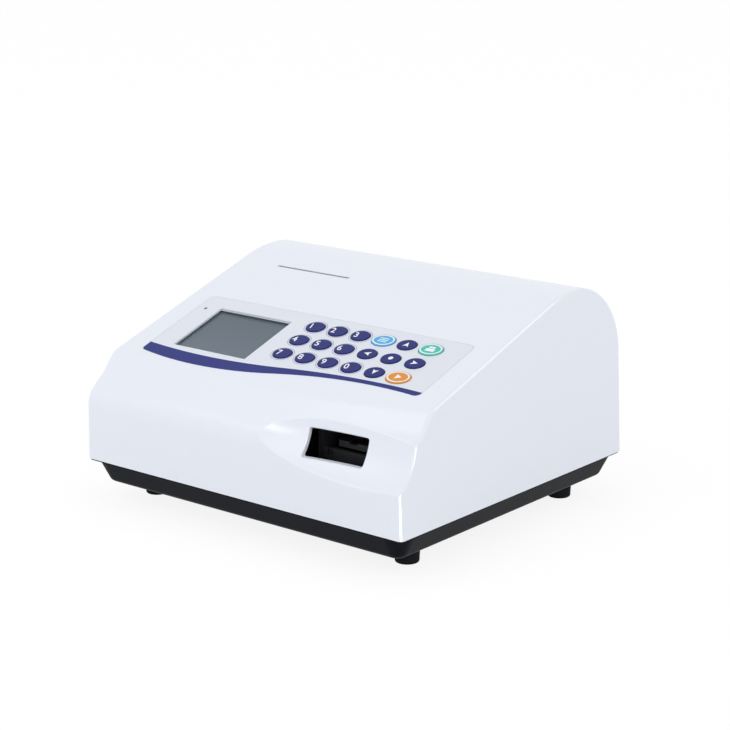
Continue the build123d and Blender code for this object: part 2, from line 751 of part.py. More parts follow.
def keypad_overlay():
    """The printed sheet with its window, key and lamp openings."""
    sheet = extrude(Pos(0, 0, -SHEET_THICK) * sheet_outline(SHEET_GAP), amount=SHEET_THICK)
    window = Pos(WINDOW_X, WINDOW_S) * Box(WINDOW_WIDTH, WINDOW_HEIGHT, 4 * SHEET_THICK)
    sheet -= window
    rim = sheet.edges().filter_by(lambda e: abs(e.center().X - WINDOW_X) < WINDOW_WIDTH / 2 + 0.1)
    rim = rim.filter_by(lambda e: abs(e.center().Y - WINDOW_S) < WINDOW_HEIGHT / 2 + 0.1)
    rim = rim.filter_by(lambda e: e.center().Z > -0.01)
    sheet = chamfer(rim, SHEET_THICK / 2)
    for name, (x, s) in KEYS.items():
        sheet -= Pos(x, s) * extrude(key_outline(name, KEY_GAP), amount=2 * SHEET_THICK, both=True)
    sheet -= along_z(LED_RADIUS + KEY_GAP, LED_X, LED_S, -2 * SHEET_THICK, SHEET_THICK)
    return PANEL.location * sheet


# Where the parts of the case are screwed together


def case_screw_places():
    """The four screws that hold the cover to the tray."""
    x = WIDTH / 2 - CASE_BOSS_INSET
    return [(sign * x, y) for sign in (-1, 1) for y in (FRONT_Y + CASE_BOSS_FRONT, BACK_Y - CASE_BOSS_BACK)]


def foot_places():
    """The four feet."""
    x = WIDTH / 2 - FOOT_INSET_X
    return [(sign * x, y) for sign in (-1, 1) for y in (FRONT_Y + FOOT_INSET_FRONT, BACK_Y - FOOT_INSET_BACK)]


def corner_places(x, y, width, depth, inset=BOARD_INSET):
    """A board's four corner screws."""
    return [(x + i * (width / 2 - inset), y + j * (depth / 2 - inset)) for i in (-1, 1) for j in (-1, 1)]


MAIN_PLACES = corner_places(MAIN_BOARD_X, MAIN_BOARD_Y, MAIN_BOARD_WIDTH, MAIN_BOARD_DEPTH)
POWER_PLACES = corner_places(POWER_BOARD_X, POWER_BOARD_Y, POWER_BOARD_WIDTH, POWER_BOARD_DEPTH)
GUIDE_Y = FRONT_Y + GUIDE_FRONT + GUIDE_LENGTH / 2
GUIDE_PLACES = corner_places(PORT_X, GUIDE_Y, GUIDE_WIDTH, GUIDE_LENGTH, 2 * GUIDE_WALL + SCREW_HEAD)
PRINTER_WIDTH = PRINTER_INSIDE + 2 * PLATE_THICK
PRINTER_BASE_Y = PRINTER_BACK_Y - PRINTER_BASE_LENGTH / 2
PRINTER_INSET = PLATE_THICK + SCREW_HEAD + 1
PRINTER_PLACES = corner_places(PRINTER_X, PRINTER_BASE_Y, PRINTER_WIDTH, PRINTER_BASE_LENGTH, PRINTER_INSET)
BOARD_Z = FLOOR_Z + BOARD_LIFT
REAR_PLACES = [
    (REAR_X + i * (REAR_WIDTH / 2 - REAR_SCREW_INSET), REAR_Z + j * (REAR_HEIGHT / 2 - REAR_SCREW_INSET))
    for i in (-1, 1)
    for j in (-1, 1)
]


def rear_block(grow, y0, y1):
    """A block on the rear panel's outline, grown by so much all round, between two depths."""
    half_w = REAR_WIDTH / 2 + grow
    half_h = REAR_HEIGHT / 2 + grow
    return span_box(REAR_X - half_w, REAR_X + half_w, y0, y1, REAR_Z - half_h, REAR_Z + half_h)


def cover_additions():
    """Bosses, the rear pocket's walls and the door's ears, before they are trimmed to the case."""
    pieces = []
    for x, y in case_screw_places():
        pieces.append(along_z(CASE_BOSS_RADIUS, x, y, SEAM_Z, SEAM_Z + CASE_BOSS_HEIGHT))
        side = 1 if x > 0 else -1
        rib = Pos(side * (abs(x) + WIDTH / 2) / 2, y, SEAM_Z + CASE_BOSS_HEIGHT / 2 + LIP_HEIGHT)
        pieces.append(rib * Box(WIDTH / 2 - abs(x), WALL, CASE_BOSS_HEIGHT - 2 * LIP_HEIGHT))
    for x, s in board_screw_places():
        pieces.append(PANEL.location * along_z(BOSS_RADIUS, x, s, BOARD_TOP, -WALL / 2))
    inner_y = REAR_SEAT_Y - WALL
    pieces.append(rear_block(WALL + REAR_GAP, inner_y, BACK_Y))
    for x, z in REAR_PLACES:
        pieces.append(along_y(BOSS_RADIUS, x, inner_y - SCREW_GRIP + WALL, inner_y + 1, z))
    for side in (-1, 1):
        near = PRINTER_X + side * (DOOR_WIDTH / 2 + DOOR_GAP)
        far = near + side * EAR_WIDTH
        y = hinge_y()
        low, high = min(near, far), max(near, far)
        pieces.append(along_x(EAR_RADIUS, low, high, y, DOOR_HINGE_Z))
        pieces.append(span_box(low, high, y, BACK_Y, DOOR_HINGE_Z - EAR_RADIUS, DOOR_HINGE_Z + EAR_RADIUS))
    return union(pieces)


def hinge_y():
    """The door's hinge line, one barrel radius inside the back wall's face."""
    return back_wall_y(DOOR_HINGE_Z) - DOOR_BARREL


def cover_cuts():
    """Every opening in the cover."""
    cuts = []
    recess = extrude(Pos(0, 0, -SHEET_THICK) * sheet_outline(), amount=SHEET_THICK + 1)
    cuts.append(PANEL.location * recess)
    ledge = Box(WINDOW_WIDTH + 2 * WINDOW_LEDGE, WINDOW_HEIGHT + 2 * WINDOW_LEDGE, 4 * WALL)
    cuts.append(on_panel(WINDOW_X, WINDOW_S) * ledge)
    cuts.append(on_panel(LED_X, LED_S) * Cylinder(LED_RADIUS + KEY_GAP, 4 * WALL))
    for name, place in KEYS.items():
        pocket = extrude(Pos(0, 0, POCKET_BOTTOM) * key_outline(name, KEY_GAP), amount=-POCKET_BOTTOM)
        cuts.append(on_panel(*place) * pocket)
        cuts.append(on_panel(*place) * Cylinder(STEM_RADIUS + STEM_GAP, 4 * WALL))
    for x, s in board_screw_places():
        cuts.append(on_panel(x, s, BOARD_TOP) * Cylinder(SCREW_RADIUS + FIT, 2 * SCREW_GRIP - 2))
    slot = Box(SLOT_WIDTH, SLOT_BREADTH, 4 * WALL)
    cuts.append(on_panel(SLOT_X, SLOT_S) * slot)
    cuts.append(port_block())
    cuts.append(rear_block(REAR_GAP, REAR_SEAT_Y, BACK_Y + 1))
    cuts.append(rear_block(-REAR_FLANGE, REAR_SEAT_Y - WALL - 1, BACK_Y))
    for x, z in REAR_PLACES:
        cuts.append(along_y(SCREW_RADIUS + FIT, x, REAR_SEAT_Y - SCREW_GRIP, REAR_SEAT_Y + 1, z))
    half_w = DOOR_WIDTH / 2 + DOOR_GAP
    low = DOOR_HINGE_Z - DOOR_BARREL - DOOR_GAP
    high = DOOR_TOP_Z + DOOR_GAP
    door_y = hinge_y() - EAR_RADIUS - 1
    cuts.append(span_box(PRINTER_X - half_w, PRINTER_X + half_w, door_y, BACK_Y + 1, low, high))
    reach = half_w + EAR_WIDTH - 1
    pin = HINGE_PIN_RADIUS + FIT / 2
    cuts.append(along_x(pin, PRINTER_X - reach, PRINTER_X + reach, hinge_y(), DOOR_HINGE_Z))
    for x, y in case_screw_places():
        cuts.append(along_z(SCREW_RADIUS + FIT, x, y, SEAM_Z - 1, SEAM_Z + 2 * SCREW_GRIP + 1))
    return cuts


def top_cover(form):
    """The white cover: the hollow form with its bosses and openings."""
    inside = case_form(WALL, CAVITY_Z) - scoop(WALL)
    cover = form - inside + (cover_additions() & form)
    for cut in cover_cuts():
        cover -= cut
    return cover


def tray_block(wall, base_z, top_z):
    """The tray's flared block, or its inside at a wall."""
    flare = (TRAY_BOTTOM_INSET - TRAY_TOP_INSET) / TRAY_HEIGHT
    inset = TRAY_BOTTOM_INSET - (base_z - FOOT_HEIGHT) * flare + wall
    outline = RectangleRounded(WIDTH - 2 * inset, DEPTH - 2 * inset, TRAY_CORNER - wall)
    return extrude(Pos(0, 0, base_z) * outline, amount=top_z - base_z, taper=-degrees(atan2(flare, 1)))


def bottom_tray():
    """The black tray with its lip, pillars and screw bosses."""
    block = tray_block(0, FOOT_HEIGHT, SEAM_Z)
    block = fillet(block.faces().sort_by(Axis.Z)[0].edges(), TRAY_EDGE)
    tray = block - tray_block(TRAY_WALL, FLOOR_Z, SEAM_Z + 1)
    rim = RectangleRounded(WIDTH - 2 * TRAY_TOP_INSET, DEPTH - 2 * TRAY_TOP_INSET, TRAY_RIM_CORNER)
    inset = WALL + LIP_GAP
    lip = RectangleRounded(WIDTH - 2 * inset, DEPTH - 2 * inset, TRAY_RIM_CORNER)
    inset += LIP_THICK
    hollow = RectangleRounded(WIDTH - 2 * inset, DEPTH - 2 * inset, TRAY_CORNER)
    tray += extrude(Pos(0, 0, SEAM_Z - TRAY_RIM_THICK) * (rim - hollow), amount=TRAY_RIM_THICK)
    tray += extrude(Pos(0, 0, SEAM_Z) * (lip - hollow), amount=LIP_HEIGHT)
    base = FOOT_HEIGHT + 1
    foot_top = FLOOR_Z + SCREW_GRIP
    seats = [(place, BOARD_Z) for place in MAIN_PLACES + POWER_PLACES]
    seats += [(place, GUIDE_FLOOR_Z) for place in GUIDE_PLACES]
    seats += [(place, PRINTER_BASE_Z) for place in PRINTER_PLACES]
    pillars = [along_z(CASE_BOSS_RADIUS, x, y, base, SEAM_Z) for x, y in case_screw_places()]
    pillars += [along_z(CASE_BOSS_RADIUS, x, y, base, foot_top) for x, y in foot_places()]
    pillars += [along_z(BOSS_RADIUS, x, y, base, top) for (x, y), top in seats]
    tray += union(pillars)
    for x, y in case_screw_places():
        tray -= along_z(SCREW_RADIUS + SCREW_GAP, x, y, FOOT_HEIGHT - 1, SEAM_Z + 1)
        tray -= along_z(SCREW_HEAD + COUNTERBORE_GAP, x, y, FOOT_HEIGHT - 1, FOOT_HEIGHT + CASE_HEAD_DEPTH)
    for x, y in foot_places():
        tray -= along_z(SCREW_RADIUS + FIT, x, y, FOOT_HEIGHT - 1, foot_top + 1)
    for (x, y), top in seats:
        tray -= along_z(SCREW_RADIUS + FIT, x, y, top - SCREW_GRIP - 1, top + 1)
    return tray


def feet():
    """Four tapered rubber feet, each with a sunk screw hole."""
    cone = Pos(0, 0, FOOT_HEIGHT / 2) * Cone(FOOT_TIP_RADIUS, FOOT_RADIUS, FOOT_HEIGHT)
    cone = fillet(cone.edges().group_by(Axis.Z)[0], FOOT_EDGE)
    cone -= along_z(SCREW_RADIUS + SCREW_GAP, 0, 0, -1, FOOT_HEIGHT + 1)
    cone -= along_z(SCREW_HEAD + COUNTERBORE_GAP, 0, 0, -1, FOOT_SCREW_DEPTH)
    return Compound(children=[Pos(x, y, 0) * cone for x, y in foot_places()])


def foot_screws():
    """The screws that hold the feet."""
    one = Rot(180, 0, 0) * screw(FLOOR_Z + SCREW_GRIP - FOOT_SCREW_DEPTH - 1)
    return Compound(children=[Pos(x, y, FOOT_SCREW_DEPTH) * one for x, y in foot_places()])


def case_screws():
    """The screws from under the tray into the cover."""
    one = Rot(180, 0, 0) * screw(SEAM_Z + 2 * SCREW_GRIP - FOOT_HEIGHT - CASE_HEAD_DEPTH)
    return Compound(children=[Pos(x, y, FOOT_HEIGHT + CASE_HEAD_DEPTH) * one for x, y in case_screw_places()])


def board_screws():
    """The screws of the boards, the strip guide and the printer."""
    pieces = []
    board = screw(BOARD_THICK + SCREW_GRIP)
    for x, y in MAIN_PLACES + POWER_PLACES:
        pieces.append(Pos(x, y, BOARD_Z + BOARD_THICK) * board)
    for x, y in GUIDE_PLACES:
        pieces.append(Pos(x, y, GUIDE_FLOOR_Z + GUIDE_WALL) * screw(GUIDE_WALL + SCREW_GRIP))
    for x, y in PRINTER_PLACES:
        pieces.append(Pos(x, y, PRINTER_BASE_Z + PRINTER_BASE_THICK) * screw(PRINTER_BASE_THICK + SCREW_GRIP))
    short = Rot(180, 0, 0) * screw(BOARD_THICK + SCREW_GRIP - 2)
    for x, s in board_screw_places():
        pieces.append(on_panel(x, s, BOARD_BOTTOM) * short)
    return Compound(children=pieces)


# Strip transport
GUIDE_FRONT_Y = FRONT_Y + GUIDE_FRONT
GUIDE_BACK_Y = GUIDE_FRONT_Y + GUIDE_LENGTH
GUIDE_TOP_Z = PORT_Z + PORT_HEIGHT / 2 + GUIDE_TOP_OVER_PORT
OPTICS_TOP_Z = GUIDE_TOP_Z + OPTICS_HEIGHT
OPTICS_Y = (OPTICS_TOP_Z + OPTICS_HEADROOM - PANEL_Z - BOARD_BOTTOM / COS_P) / TAN_P
MOUTH_BOTTOM_Z = PORT_Z - PORT_HEIGHT / 2 + MOUTH_RAISE
MOUTH_TOP_Z = PORT_Z + PORT_HEIGHT / 2 - MOUTH_LINTEL
STRIP_Z = PORT_Z - PORT_HEIGHT / 2 + STRIP_TRAY_RAISE
CARRIAGE_TOP_Z = STRIP_Z - SLIDE_GAP
CARRIAGE_BOTTOM_Z = CARRIAGE_TOP_Z - CARRIAGE_HEIGHT
CARRIAGE_FRONT_Y = GUIDE_FRONT_Y + GUIDE_WALL + CARRIAGE_FRONT_GAP + CARRIAGE_TRAVEL
ROD_Z = CARRIAGE_TOP_Z - ROD_DROP
ROD_PLACES = (PORT_X - ROD_SPACING / 2, PORT_X + ROD_SPACING / 2)
PITCH_Z = CARRIAGE_BOTTOM_Z - TRAY_MODULE
PINION_RADIUS = TRAY_MODULE * TRAY_TEETH / 2
PINION_Y = CARRIAGE_FRONT_Y + PINION_BEHIND_FRONT
PINION_Z = PITCH_Z - PINION_RADIUS
PINION_X = PORT_X + RACK_OFFSET


def gear_outline(teeth, module, phase):
    """A spur gear's face, with one tooth centred at the phase angle in radians."""
    pitch = teeth * module / 2
    base = pitch * cos(radians(PRESSURE_ANGLE))
    tip = pitch + TOOTH_TIP * module
    root = pitch - module

    def half_width(radius):
        turn = acos(min(1.0, base / radius))
        slack = (pi * module / 2 - GEAR_BACKLASH) / (2 * pitch)
        return slack + tan(radians(PRESSURE_ANGLE)) - radians(PRESSURE_ANGLE) - (tan(turn) - turn)

    levels = [max(base, root), (base + tip) / 2, (pitch + tip) / 2, tip]
    points = []
    for tooth in range(teeth):
        middle = phase + 2 * pi * tooth / teeth
        rising = [(root, half_width(levels[0]))] + [(r, half_width(r)) for r in levels]
        for radius, half in rising:
            points.append((radius * cos(middle - half), radius * sin(middle - half)))
        for radius, half in reversed(rising):
            points.append((radius * cos(middle + half), radius * sin(middle + half)))
    distinct = [p for p, q in zip(points, points[1:] + points[:1]) if hypot(p[0] - q[0], p[1] - q[1]) > 1e-6]
    return make_face(Polyline(*distinct, close=True))


def gear(teeth, module, width, phase, x, y, z):
    """A spur gear on an axis along X, from x on."""
    return Pos(x, y, z) * extrude(Plane.YZ * gear_outline(teeth, module, phase), amount=width)


def meshed_phase(phase, teeth, other_teeth, direction):
    """The phase of a gear that meshes with the one given, which lies in that direction."""
    lead = (phase - direction) % (2 * pi / teeth)
    return direction + pi - lead * teeth / other_teeth + pi / other_teeth


def transport_frame():
    """The black guide: floor, two side walls and two end walls, with the mouth in the front one."""
    x0, x1 = PORT_X - GUIDE_WIDTH / 2, PORT_X + GUIDE_WIDTH / 2
    frame = span_box(x0, x1, GUIDE_FRONT_Y, GUIDE_BACK_Y, GUIDE_FLOOR_Z, GUIDE_TOP_Z)
    inner = span_box(x0 + GUIDE_WALL, x1 - GUIDE_WALL, GUIDE_FRONT_Y + GUIDE_WALL, GUIDE_BACK_Y - GUIDE_WALL,
                     GUIDE_FLOOR_Z + GUIDE_WALL, GUIDE_TOP_Z + 1)
    frame -= inner
    half = MOUTH_WIDTH / 2
    frame -= span_box(PORT_X - half, PORT_X + half, GUIDE_FRONT_Y - 1, GUIDE_FRONT_Y + GUIDE_WALL + 1,
                      MOUTH_BOTTOM_Z, MOUTH_TOP_Z)
    for x in ROD_PLACES:
        frame -= along_y(ROD_RADIUS + FIT / 2, x, GUIDE_FRONT_Y - 1, GUIDE_BACK_Y + 1, ROD_Z)
    frame -= along_x(2 * TRAY_SHAFT_RADIUS, x1 - GUIDE_WALL - 1, x1 + 1, PINION_Y, PINION_Z)
    for x, y in GUIDE_PLACES:
        frame -= along_z(SCREW_RADIUS + SCREW_GAP, x, y, GUIDE_FLOOR_Z - 1, GUIDE_FLOOR_Z + GUIDE_WALL + 1)
    return frame


def guide_rods():
    """The two steel rods that the carriage runs on."""
    return Compound(children=[along_y(ROD_RADIUS, x, GUIDE_FRONT_Y, GUIDE_BACK_Y, ROD_Z) for x in ROD_PLACES])


def rack():
    """The carriage's rack, with a gap over the pinion's top tooth."""
    pitch = pi * TRAY_MODULE
    slope = tan(radians(PRESSURE_ANGLE))
    half = (pitch / 2 - GEAR_BACKLASH) / 2
    tip_z = PITCH_Z - TOOTH_TIP * TRAY_MODULE
    x0 = PINION_X - RACK_WIDTH / 2
    first = -int(PINION_BEHIND_FRONT / pitch + 0.5) + 1
    last = int((CARRIAGE_LENGTH - PINION_BEHIND_FRONT) / pitch - 0.5)
    teeth = []
    for index in range(first, last):
        y = PINION_Y + (index + 0.5) * pitch
        wide = half + slope * TRAY_MODULE
        narrow = half - slope * TOOTH_TIP * TRAY_MODULE
        root = [(y - wide, CARRIAGE_BOTTOM_Z), (y + wide, CARRIAGE_BOTTOM_Z)]
        outline = Polyline(*root, (y + narrow, tip_z), (y - narrow, tip_z), close=True)
        teeth.append(Pos(x0, 0, 0) * extrude(Plane.YZ * make_face(outline), amount=RACK_WIDTH))
    return teeth


def tray_carriage():
    """The carriage on its rods, with lips beside the strip tray and the rack underneath."""
    x0, x1 = PORT_X - CARRIAGE_WIDTH / 2, PORT_X + CARRIAGE_WIDTH / 2
    y0, y1 = CARRIAGE_FRONT_Y, CARRIAGE_FRONT_Y + CARRIAGE_LENGTH
    lip_z = CARRIAGE_TOP_Z + CARRIAGE_LIP
    body = span_box(x0, x1, y0, y1, CARRIAGE_BOTTOM_Z, lip_z)
    half = STRIP_TRAY_WIDTH / 2 + SLIDE_GAP
    body -= span_box(PORT_X - half, PORT_X + half, y0 - 1, y1 + 1, CARRIAGE_TOP_Z, lip_z + 1)
    for x in ROD_PLACES:
        body -= along_y(ROD_RADIUS + FIT, x, y0 - 1, y1 + 1, ROD_Z)
    return union([body] + rack())


def strip_tray():
    """The long tray that holds a test strip in its groove."""
    y0 = GUIDE_FRONT_Y + STRIP_TRAY_SET
    y1 = y0 + STRIP_TRAY_LENGTH
    half = STRIP_TRAY_WIDTH / 2
    top = STRIP_Z + STRIP_TRAY_HEIGHT
    tray = span_box(PORT_X - half, PORT_X + half, y0, y1, STRIP_Z, top)
    tray = fillet(tray.edges().filter_by(Axis.Z), STRIP_TRAY_CORNER)
    groove = STRIP_GROOVE / 2
    low = top - STRIP_GROOVE_DEPTH
    tray -= span_box(PORT_X - groove, PORT_X + groove, y0 - 1, y1 - STRIP_GROOVE_END, low, top + 1)
    tray -= Pos(PORT_X, y0 + STRIP_PAD_PLACE, top) * Cylinder(STRIP_GROOVE, 2 * STRIP_GROOVE_DEPTH)
    drain = half - groove
    for side in (-1, 1):
        x = PORT_X + side * (groove + drain / 2)
        drain_y0, drain_y1 = y0 + STRIP_DRAIN_FRONT, y1 - STRIP_DRAIN_BACK
        tray -= span_box(x - drain / 4, x + drain / 4, drain_y0, drain_y1, low, top + 1)
    return tray


def tray_pinion():
    """The pinion and its shaft, which turns in the motor."""
    motor_x = PORT_X + GUIDE_WIDTH / 2
    x0 = PINION_X - TRAY_GEAR_WIDTH / 2
    wheel = gear(TRAY_TEETH, TRAY_MODULE, TRAY_GEAR_WIDTH, pi / 2, x0, PINION_Y, PINION_Z)
    return wheel + along_x(TRAY_SHAFT_RADIUS, x0, motor_x + SHAFT_GRIP, PINION_Y, PINION_Z)


def tray_motor():
    """The stepper motor on the guide's side wall."""
    x0 = PORT_X + GUIDE_WIDTH / 2
    can = along_x(STEPPER_RADIUS, x0, x0 + STEPPER_LENGTH, PINION_Y, PINION_Z)
    can = fillet(can.edges().group_by(Axis.X)[-1], STEPPER_EDGE)
    return can - along_x(TRAY_SHAFT_RADIUS + FIT, x0 - 1, x0 + SHAFT_GRIP + 1, PINION_Y, PINION_Z)


def optical_head():
    """The lamp and sensor block across the guide's walls, with its lens recess underneath."""
    x0, x1 = PORT_X - GUIDE_WIDTH / 2, PORT_X + GUIDE_WIDTH / 2
    block = span_box(x0, x1, OPTICS_Y, OPTICS_Y + OPTICS_LENGTH, GUIDE_TOP_Z, OPTICS_TOP_Z)
    block = chamfer(block.edges().filter_by(Axis.X).group_by(Axis.Z)[-1], OPTICS_CHAMFER)
    lens_y = OPTICS_Y + OPTICS_LENGTH / 2
    return block - along_z(LENS_RADIUS, PORT_X, lens_y, GUIDE_TOP_Z - 1, GUIDE_TOP_Z + LENS_DEPTH)


def sensor_board():
    """The board on top of the optical head, with its connector."""
    half = GUIDE_WIDTH / 2 - SENSOR_BOARD_MARGIN
    y0 = OPTICS_Y + SENSOR_BOARD_MARGIN
    y1 = OPTICS_Y + OPTICS_LENGTH - SENSOR_BOARD_MARGIN
    plug_x = PORT_X - half + SENSOR_PLUG_INSET
    plug_z = OPTICS_TOP_Z + BOARD_THICK
    board = span_box(PORT_X - half, PORT_X + half, y0, y1, OPTICS_TOP_Z, plug_z)
    plug = span_box(plug_x, plug_x + SENSOR_PLUG_WIDTH, y0 + SENSOR_PLUG_END, y1 - SENSOR_PLUG_END,
                    plug_z, plug_z + SENSOR_PLUG_HEIGHT)
    return board + plug


# Printer
PLATEN_S = SLOT_S + SLOT_BREADTH / 4 + PLATEN_RADIUS
PLATEN_Y, PLATEN_Z = panel_yz(PLATEN_S, -PLATEN_DEPTH)
PLATE_X0 = PRINTER_X - PRINTER_INSIDE / 2
PLATE_X1 = PRINTER_X + PRINTER_INSIDE / 2
GEAR_X = PLATE_X1 + PLATE_THICK + GEAR_SIDE_GAP
IDLER_REACH = GEAR_MODULE * (PLATEN_TEETH + IDLER_TEETH) / 2
MOTOR_REACH = GEAR_MODULE * (IDLER_TEETH + MOTOR_TEETH) / 2
IDLER_Y = PLATEN_Y + IDLER_REACH * cos(radians(IDLER_DIRECTION))
IDLER_Z = PLATEN_Z + IDLER_REACH * sin(radians(IDLER_DIRECTION))
MOTOR_Y = IDLER_Y + MOTOR_REACH * cos(radians(MOTOR_DIRECTION))
MOTOR_Z = IDLER_Z + MOTOR_REACH * sin(radians(MOTOR_DIRECTION))
PLATEN_PHASE = radians(IDLER_DIRECTION)
IDLER_PHASE = meshed_phase(PLATEN_PHASE, PLATEN_TEETH, IDLER_TEETH, radians(IDLER_DIRECTION))
MOTOR_PHASE = meshed_phase(IDLER_PHASE, IDLER_TEETH, MOTOR_TEETH, radians(MOTOR_DIRECTION))


def printer_plate(x0, x1):
    """A side plate of the printer, with the open slot that the paper spindle lies in."""
    head_s = PLATEN_S - PLATEN_RADIUS - HEAD_THICK - PLATE_HEAD_REACH
    head_y, head_z = panel_yz(head_s, -HEAD_DEPTH + PLATE_HEAD_RISE)
    platen_top = PLATEN_Z + PLATEN_RADIUS
    back_y = PRINTER_BACK_Y
    base_y = back_y - PRINTER_BASE_LENGTH
    points = [
        (base_y, PRINTER_BASE_Z),
        (back_y, PRINTER_BASE_Z),
        (back_y, ROLL_Z + ROLL_RADIUS),
        (PLATEN_Y + PLATE_BACK_REACH, platen_top + PLATE_BACK_RISE),
        (PLATEN_Y, platen_top + PLATE_OVER_PLATEN),
        (head_y, head_z),
        (MOTOR_Y - PRINTER_MOTOR_RADIUS - PLATE_MOTOR_REACH, MOTOR_Z - PLATE_MOTOR_DROP),
        (base_y - PLATE_FRONT_REACH, ROLL_Z + PLATE_FRONT_RISE),
    ]
    plate = Pos(x0, 0, 0) * extrude(Plane.YZ * make_face(Polyline(*points, close=True)), amount=x1 - x0)
    slot = SPINDLE_END_RADIUS + FIT
    plate -= along_x(slot, x0 - 1, x1 + 1, ROLL_Y, ROLL_Z)
    return plate - span_box(x0 - 1, x1 + 1, ROLL_Y, back_y + 1, ROLL_Z - slot, ROLL_Z + slot)


def printer_frame():
    """The printer's two side plates on their base, with the idler's stud."""
    base_top = PRINTER_BASE_Z + PRINTER_BASE_THICK
    outer_x0, outer_x1 = PLATE_X0 - PLATE_THICK, PLATE_X1 + PLATE_THICK
    front_y = PRINTER_BACK_Y - PRINTER_BASE_LENGTH
    base = span_box(outer_x0, outer_x1, front_y, PRINTER_BACK_Y, PRINTER_BASE_Z, base_top)
    frame = base + printer_plate(outer_x0, PLATE_X0) + printer_plate(PLATE_X1, outer_x1)
    frame -= along_x(PLATEN_SHAFT + FIT, PLATE_X0 - 9, PLATE_X1 + 9, PLATEN_Y, PLATEN_Z)
    frame -= along_x(2 * MOTOR_SHAFT_RADIUS, PLATE_X1 - 1, PLATE_X1 + 9, MOTOR_Y, MOTOR_Z)
    frame += along_x(PLATEN_SHAFT, PLATE_X1, GEAR_X + GEAR_WIDTH + SHAFT_PROUD, IDLER_Y, IDLER_Z)
    for x, y in PRINTER_PLACES:
        frame -= along_z(SCREW_RADIUS + SCREW_GAP, x, y, PRINTER_BASE_Z - 1, base_top + 1)
    return frame


def print_head():
    """The thermal head with its finned heat sink, close in front of the platen."""
    face_s = PLATEN_S - PLATEN_RADIUS - HEAD_GAP
    middle = -HEAD_DEPTH - HEAD_TALL / 2
    block = Pos(PRINTER_X, face_s - HEAD_THICK / 2, middle) * Box(PRINTER_INSIDE, HEAD_THICK, HEAD_TALL)
    for step in range(-3, 4):
        groove = Pos(PRINTER_X + step * PRINTER_INSIDE / 8, face_s - HEAD_THICK, middle)
        block -= groove * Box(PRINTER_INSIDE / 16, HEAD_THICK / 2, HEAD_TALL + 1)
    return PANEL.location * block


def platen_roller():
    """The rubber roller on its steel shaft."""
    half = PLATEN_LENGTH / 2
    roller = along_x(PLATEN_RADIUS, PRINTER_X - half, PRINTER_X + half, PLATEN_Y, PLATEN_Z)
    left = PLATE_X0 - PLATE_THICK - SHAFT_PROUD
    return roller + along_x(PLATEN_SHAFT, left, GEAR_X + GEAR_WIDTH, PLATEN_Y, PLATEN_Z)


def platen_gear():
    """The gear on the platen's shaft."""
    wheel = gear(PLATEN_TEETH, GEAR_MODULE, GEAR_WIDTH, PLATEN_PHASE, GEAR_X, PLATEN_Y, PLATEN_Z)
    return wheel - along_x(PLATEN_SHAFT, GEAR_X - 1, GEAR_X + GEAR_WIDTH + 1, PLATEN_Y, PLATEN_Z)


def idler_gear():
    """The idler between motor and platen, on its stud."""
    wheel = gear(IDLER_TEETH, GEAR_MODULE, GEAR_WIDTH, IDLER_PHASE, GEAR_X, IDLER_Y, IDLER_Z)
    return wheel - along_x(PLATEN_SHAFT + FIT, GEAR_X - 1, GEAR_X + GEAR_WIDTH + 1, IDLER_Y, IDLER_Z)


def printer_motor():
    """The paper motor, inside the right-hand plate."""
    can = along_x(PRINTER_MOTOR_RADIUS, PLATE_X1 - PRINTER_MOTOR_LENGTH, PLATE_X1, MOTOR_Y, MOTOR_Z)
    return can - along_x(MOTOR_SHAFT_RADIUS + FIT, PLATE_X1 - SHAFT_GRIP - 1, PLATE_X1 + 1, MOTOR_Y, MOTOR_Z)


def printer_motor_gear():
    """The small gear on the motor's shaft."""
    wheel = gear(MOTOR_TEETH, GEAR_MODULE, GEAR_WIDTH, MOTOR_PHASE, GEAR_X, MOTOR_Y, MOTOR_Z)
    return wheel + along_x(MOTOR_SHAFT_RADIUS, PLATE_X1 - SHAFT_GRIP, GEAR_X + GEAR_WIDTH, MOTOR_Y, MOTOR_Z)


def paper_spindle():
    """The spindle that the roll turns on, with its ends in the plates' slots."""
    half = PRINTER_INSIDE / 2 - SPINDLE_SIDE_GAP
    core = along_x(SPINDLE_RADIUS, PRINTER_X - half, PRINTER_X + half, ROLL_Y, ROLL_Z)
    ends = along_x(SPINDLE_END_RADIUS, PLATE_X0 - PLATE_THICK, PLATE_X1 + PLATE_THICK, ROLL_Y, ROLL_Z)
    return core + ends


def paper_roll():
    """The roll of thermal paper on its spindle."""
    half = ROLL_WIDTH / 2
    bore = SPINDLE_RADIUS + ROLL_GAP
    roll = along_x(ROLL_RADIUS, PRINTER_X - half, PRINTER_X + half, ROLL_Y, ROLL_Z)
    return roll - along_x(bore, PRINTER_X - half - 1, PRINTER_X + half + 1, ROLL_Y, ROLL_Z)


def paper_door(form):
    """The rear door: a slice of the case's form on a round hinge barrel."""
    half = DOOR_WIDTH / 2
    y = hinge_y()
    inner_y = back_wall_y(DOOR_HINGE_Z) - DOOR_THICK
    slab = form & span_box(PRINTER_X - half, PRINTER_X + half, inner_y, BACK_Y + 1, DOOR_HINGE_Z, DOOR_TOP_Z)
    door = slab + along_x(DOOR_BARREL, PRINTER_X - half, PRINTER_X + half, y, DOOR_HINGE_Z)
    reach = HINGE_PIN_GRIP + 1
    for side in (-1, 1):
        edge = PRINTER_X + side * half
        low, high = min(edge - side * reach, edge + side), max(edge - side * reach, edge + side)
        door -= along_x(HINGE_PIN_RADIUS + FIT, low, high, y, DOOR_HINGE_Z)
    notch_y = back_wall_y(DOOR_TOP_Z) + DOOR_NOTCH - DOOR_NOTCH_DEPTH
    return door - along_z(DOOR_NOTCH, PRINTER_X, notch_y, DOOR_TOP_Z - DOOR_NOTCH_TALL, DOOR_TOP_Z + 1)


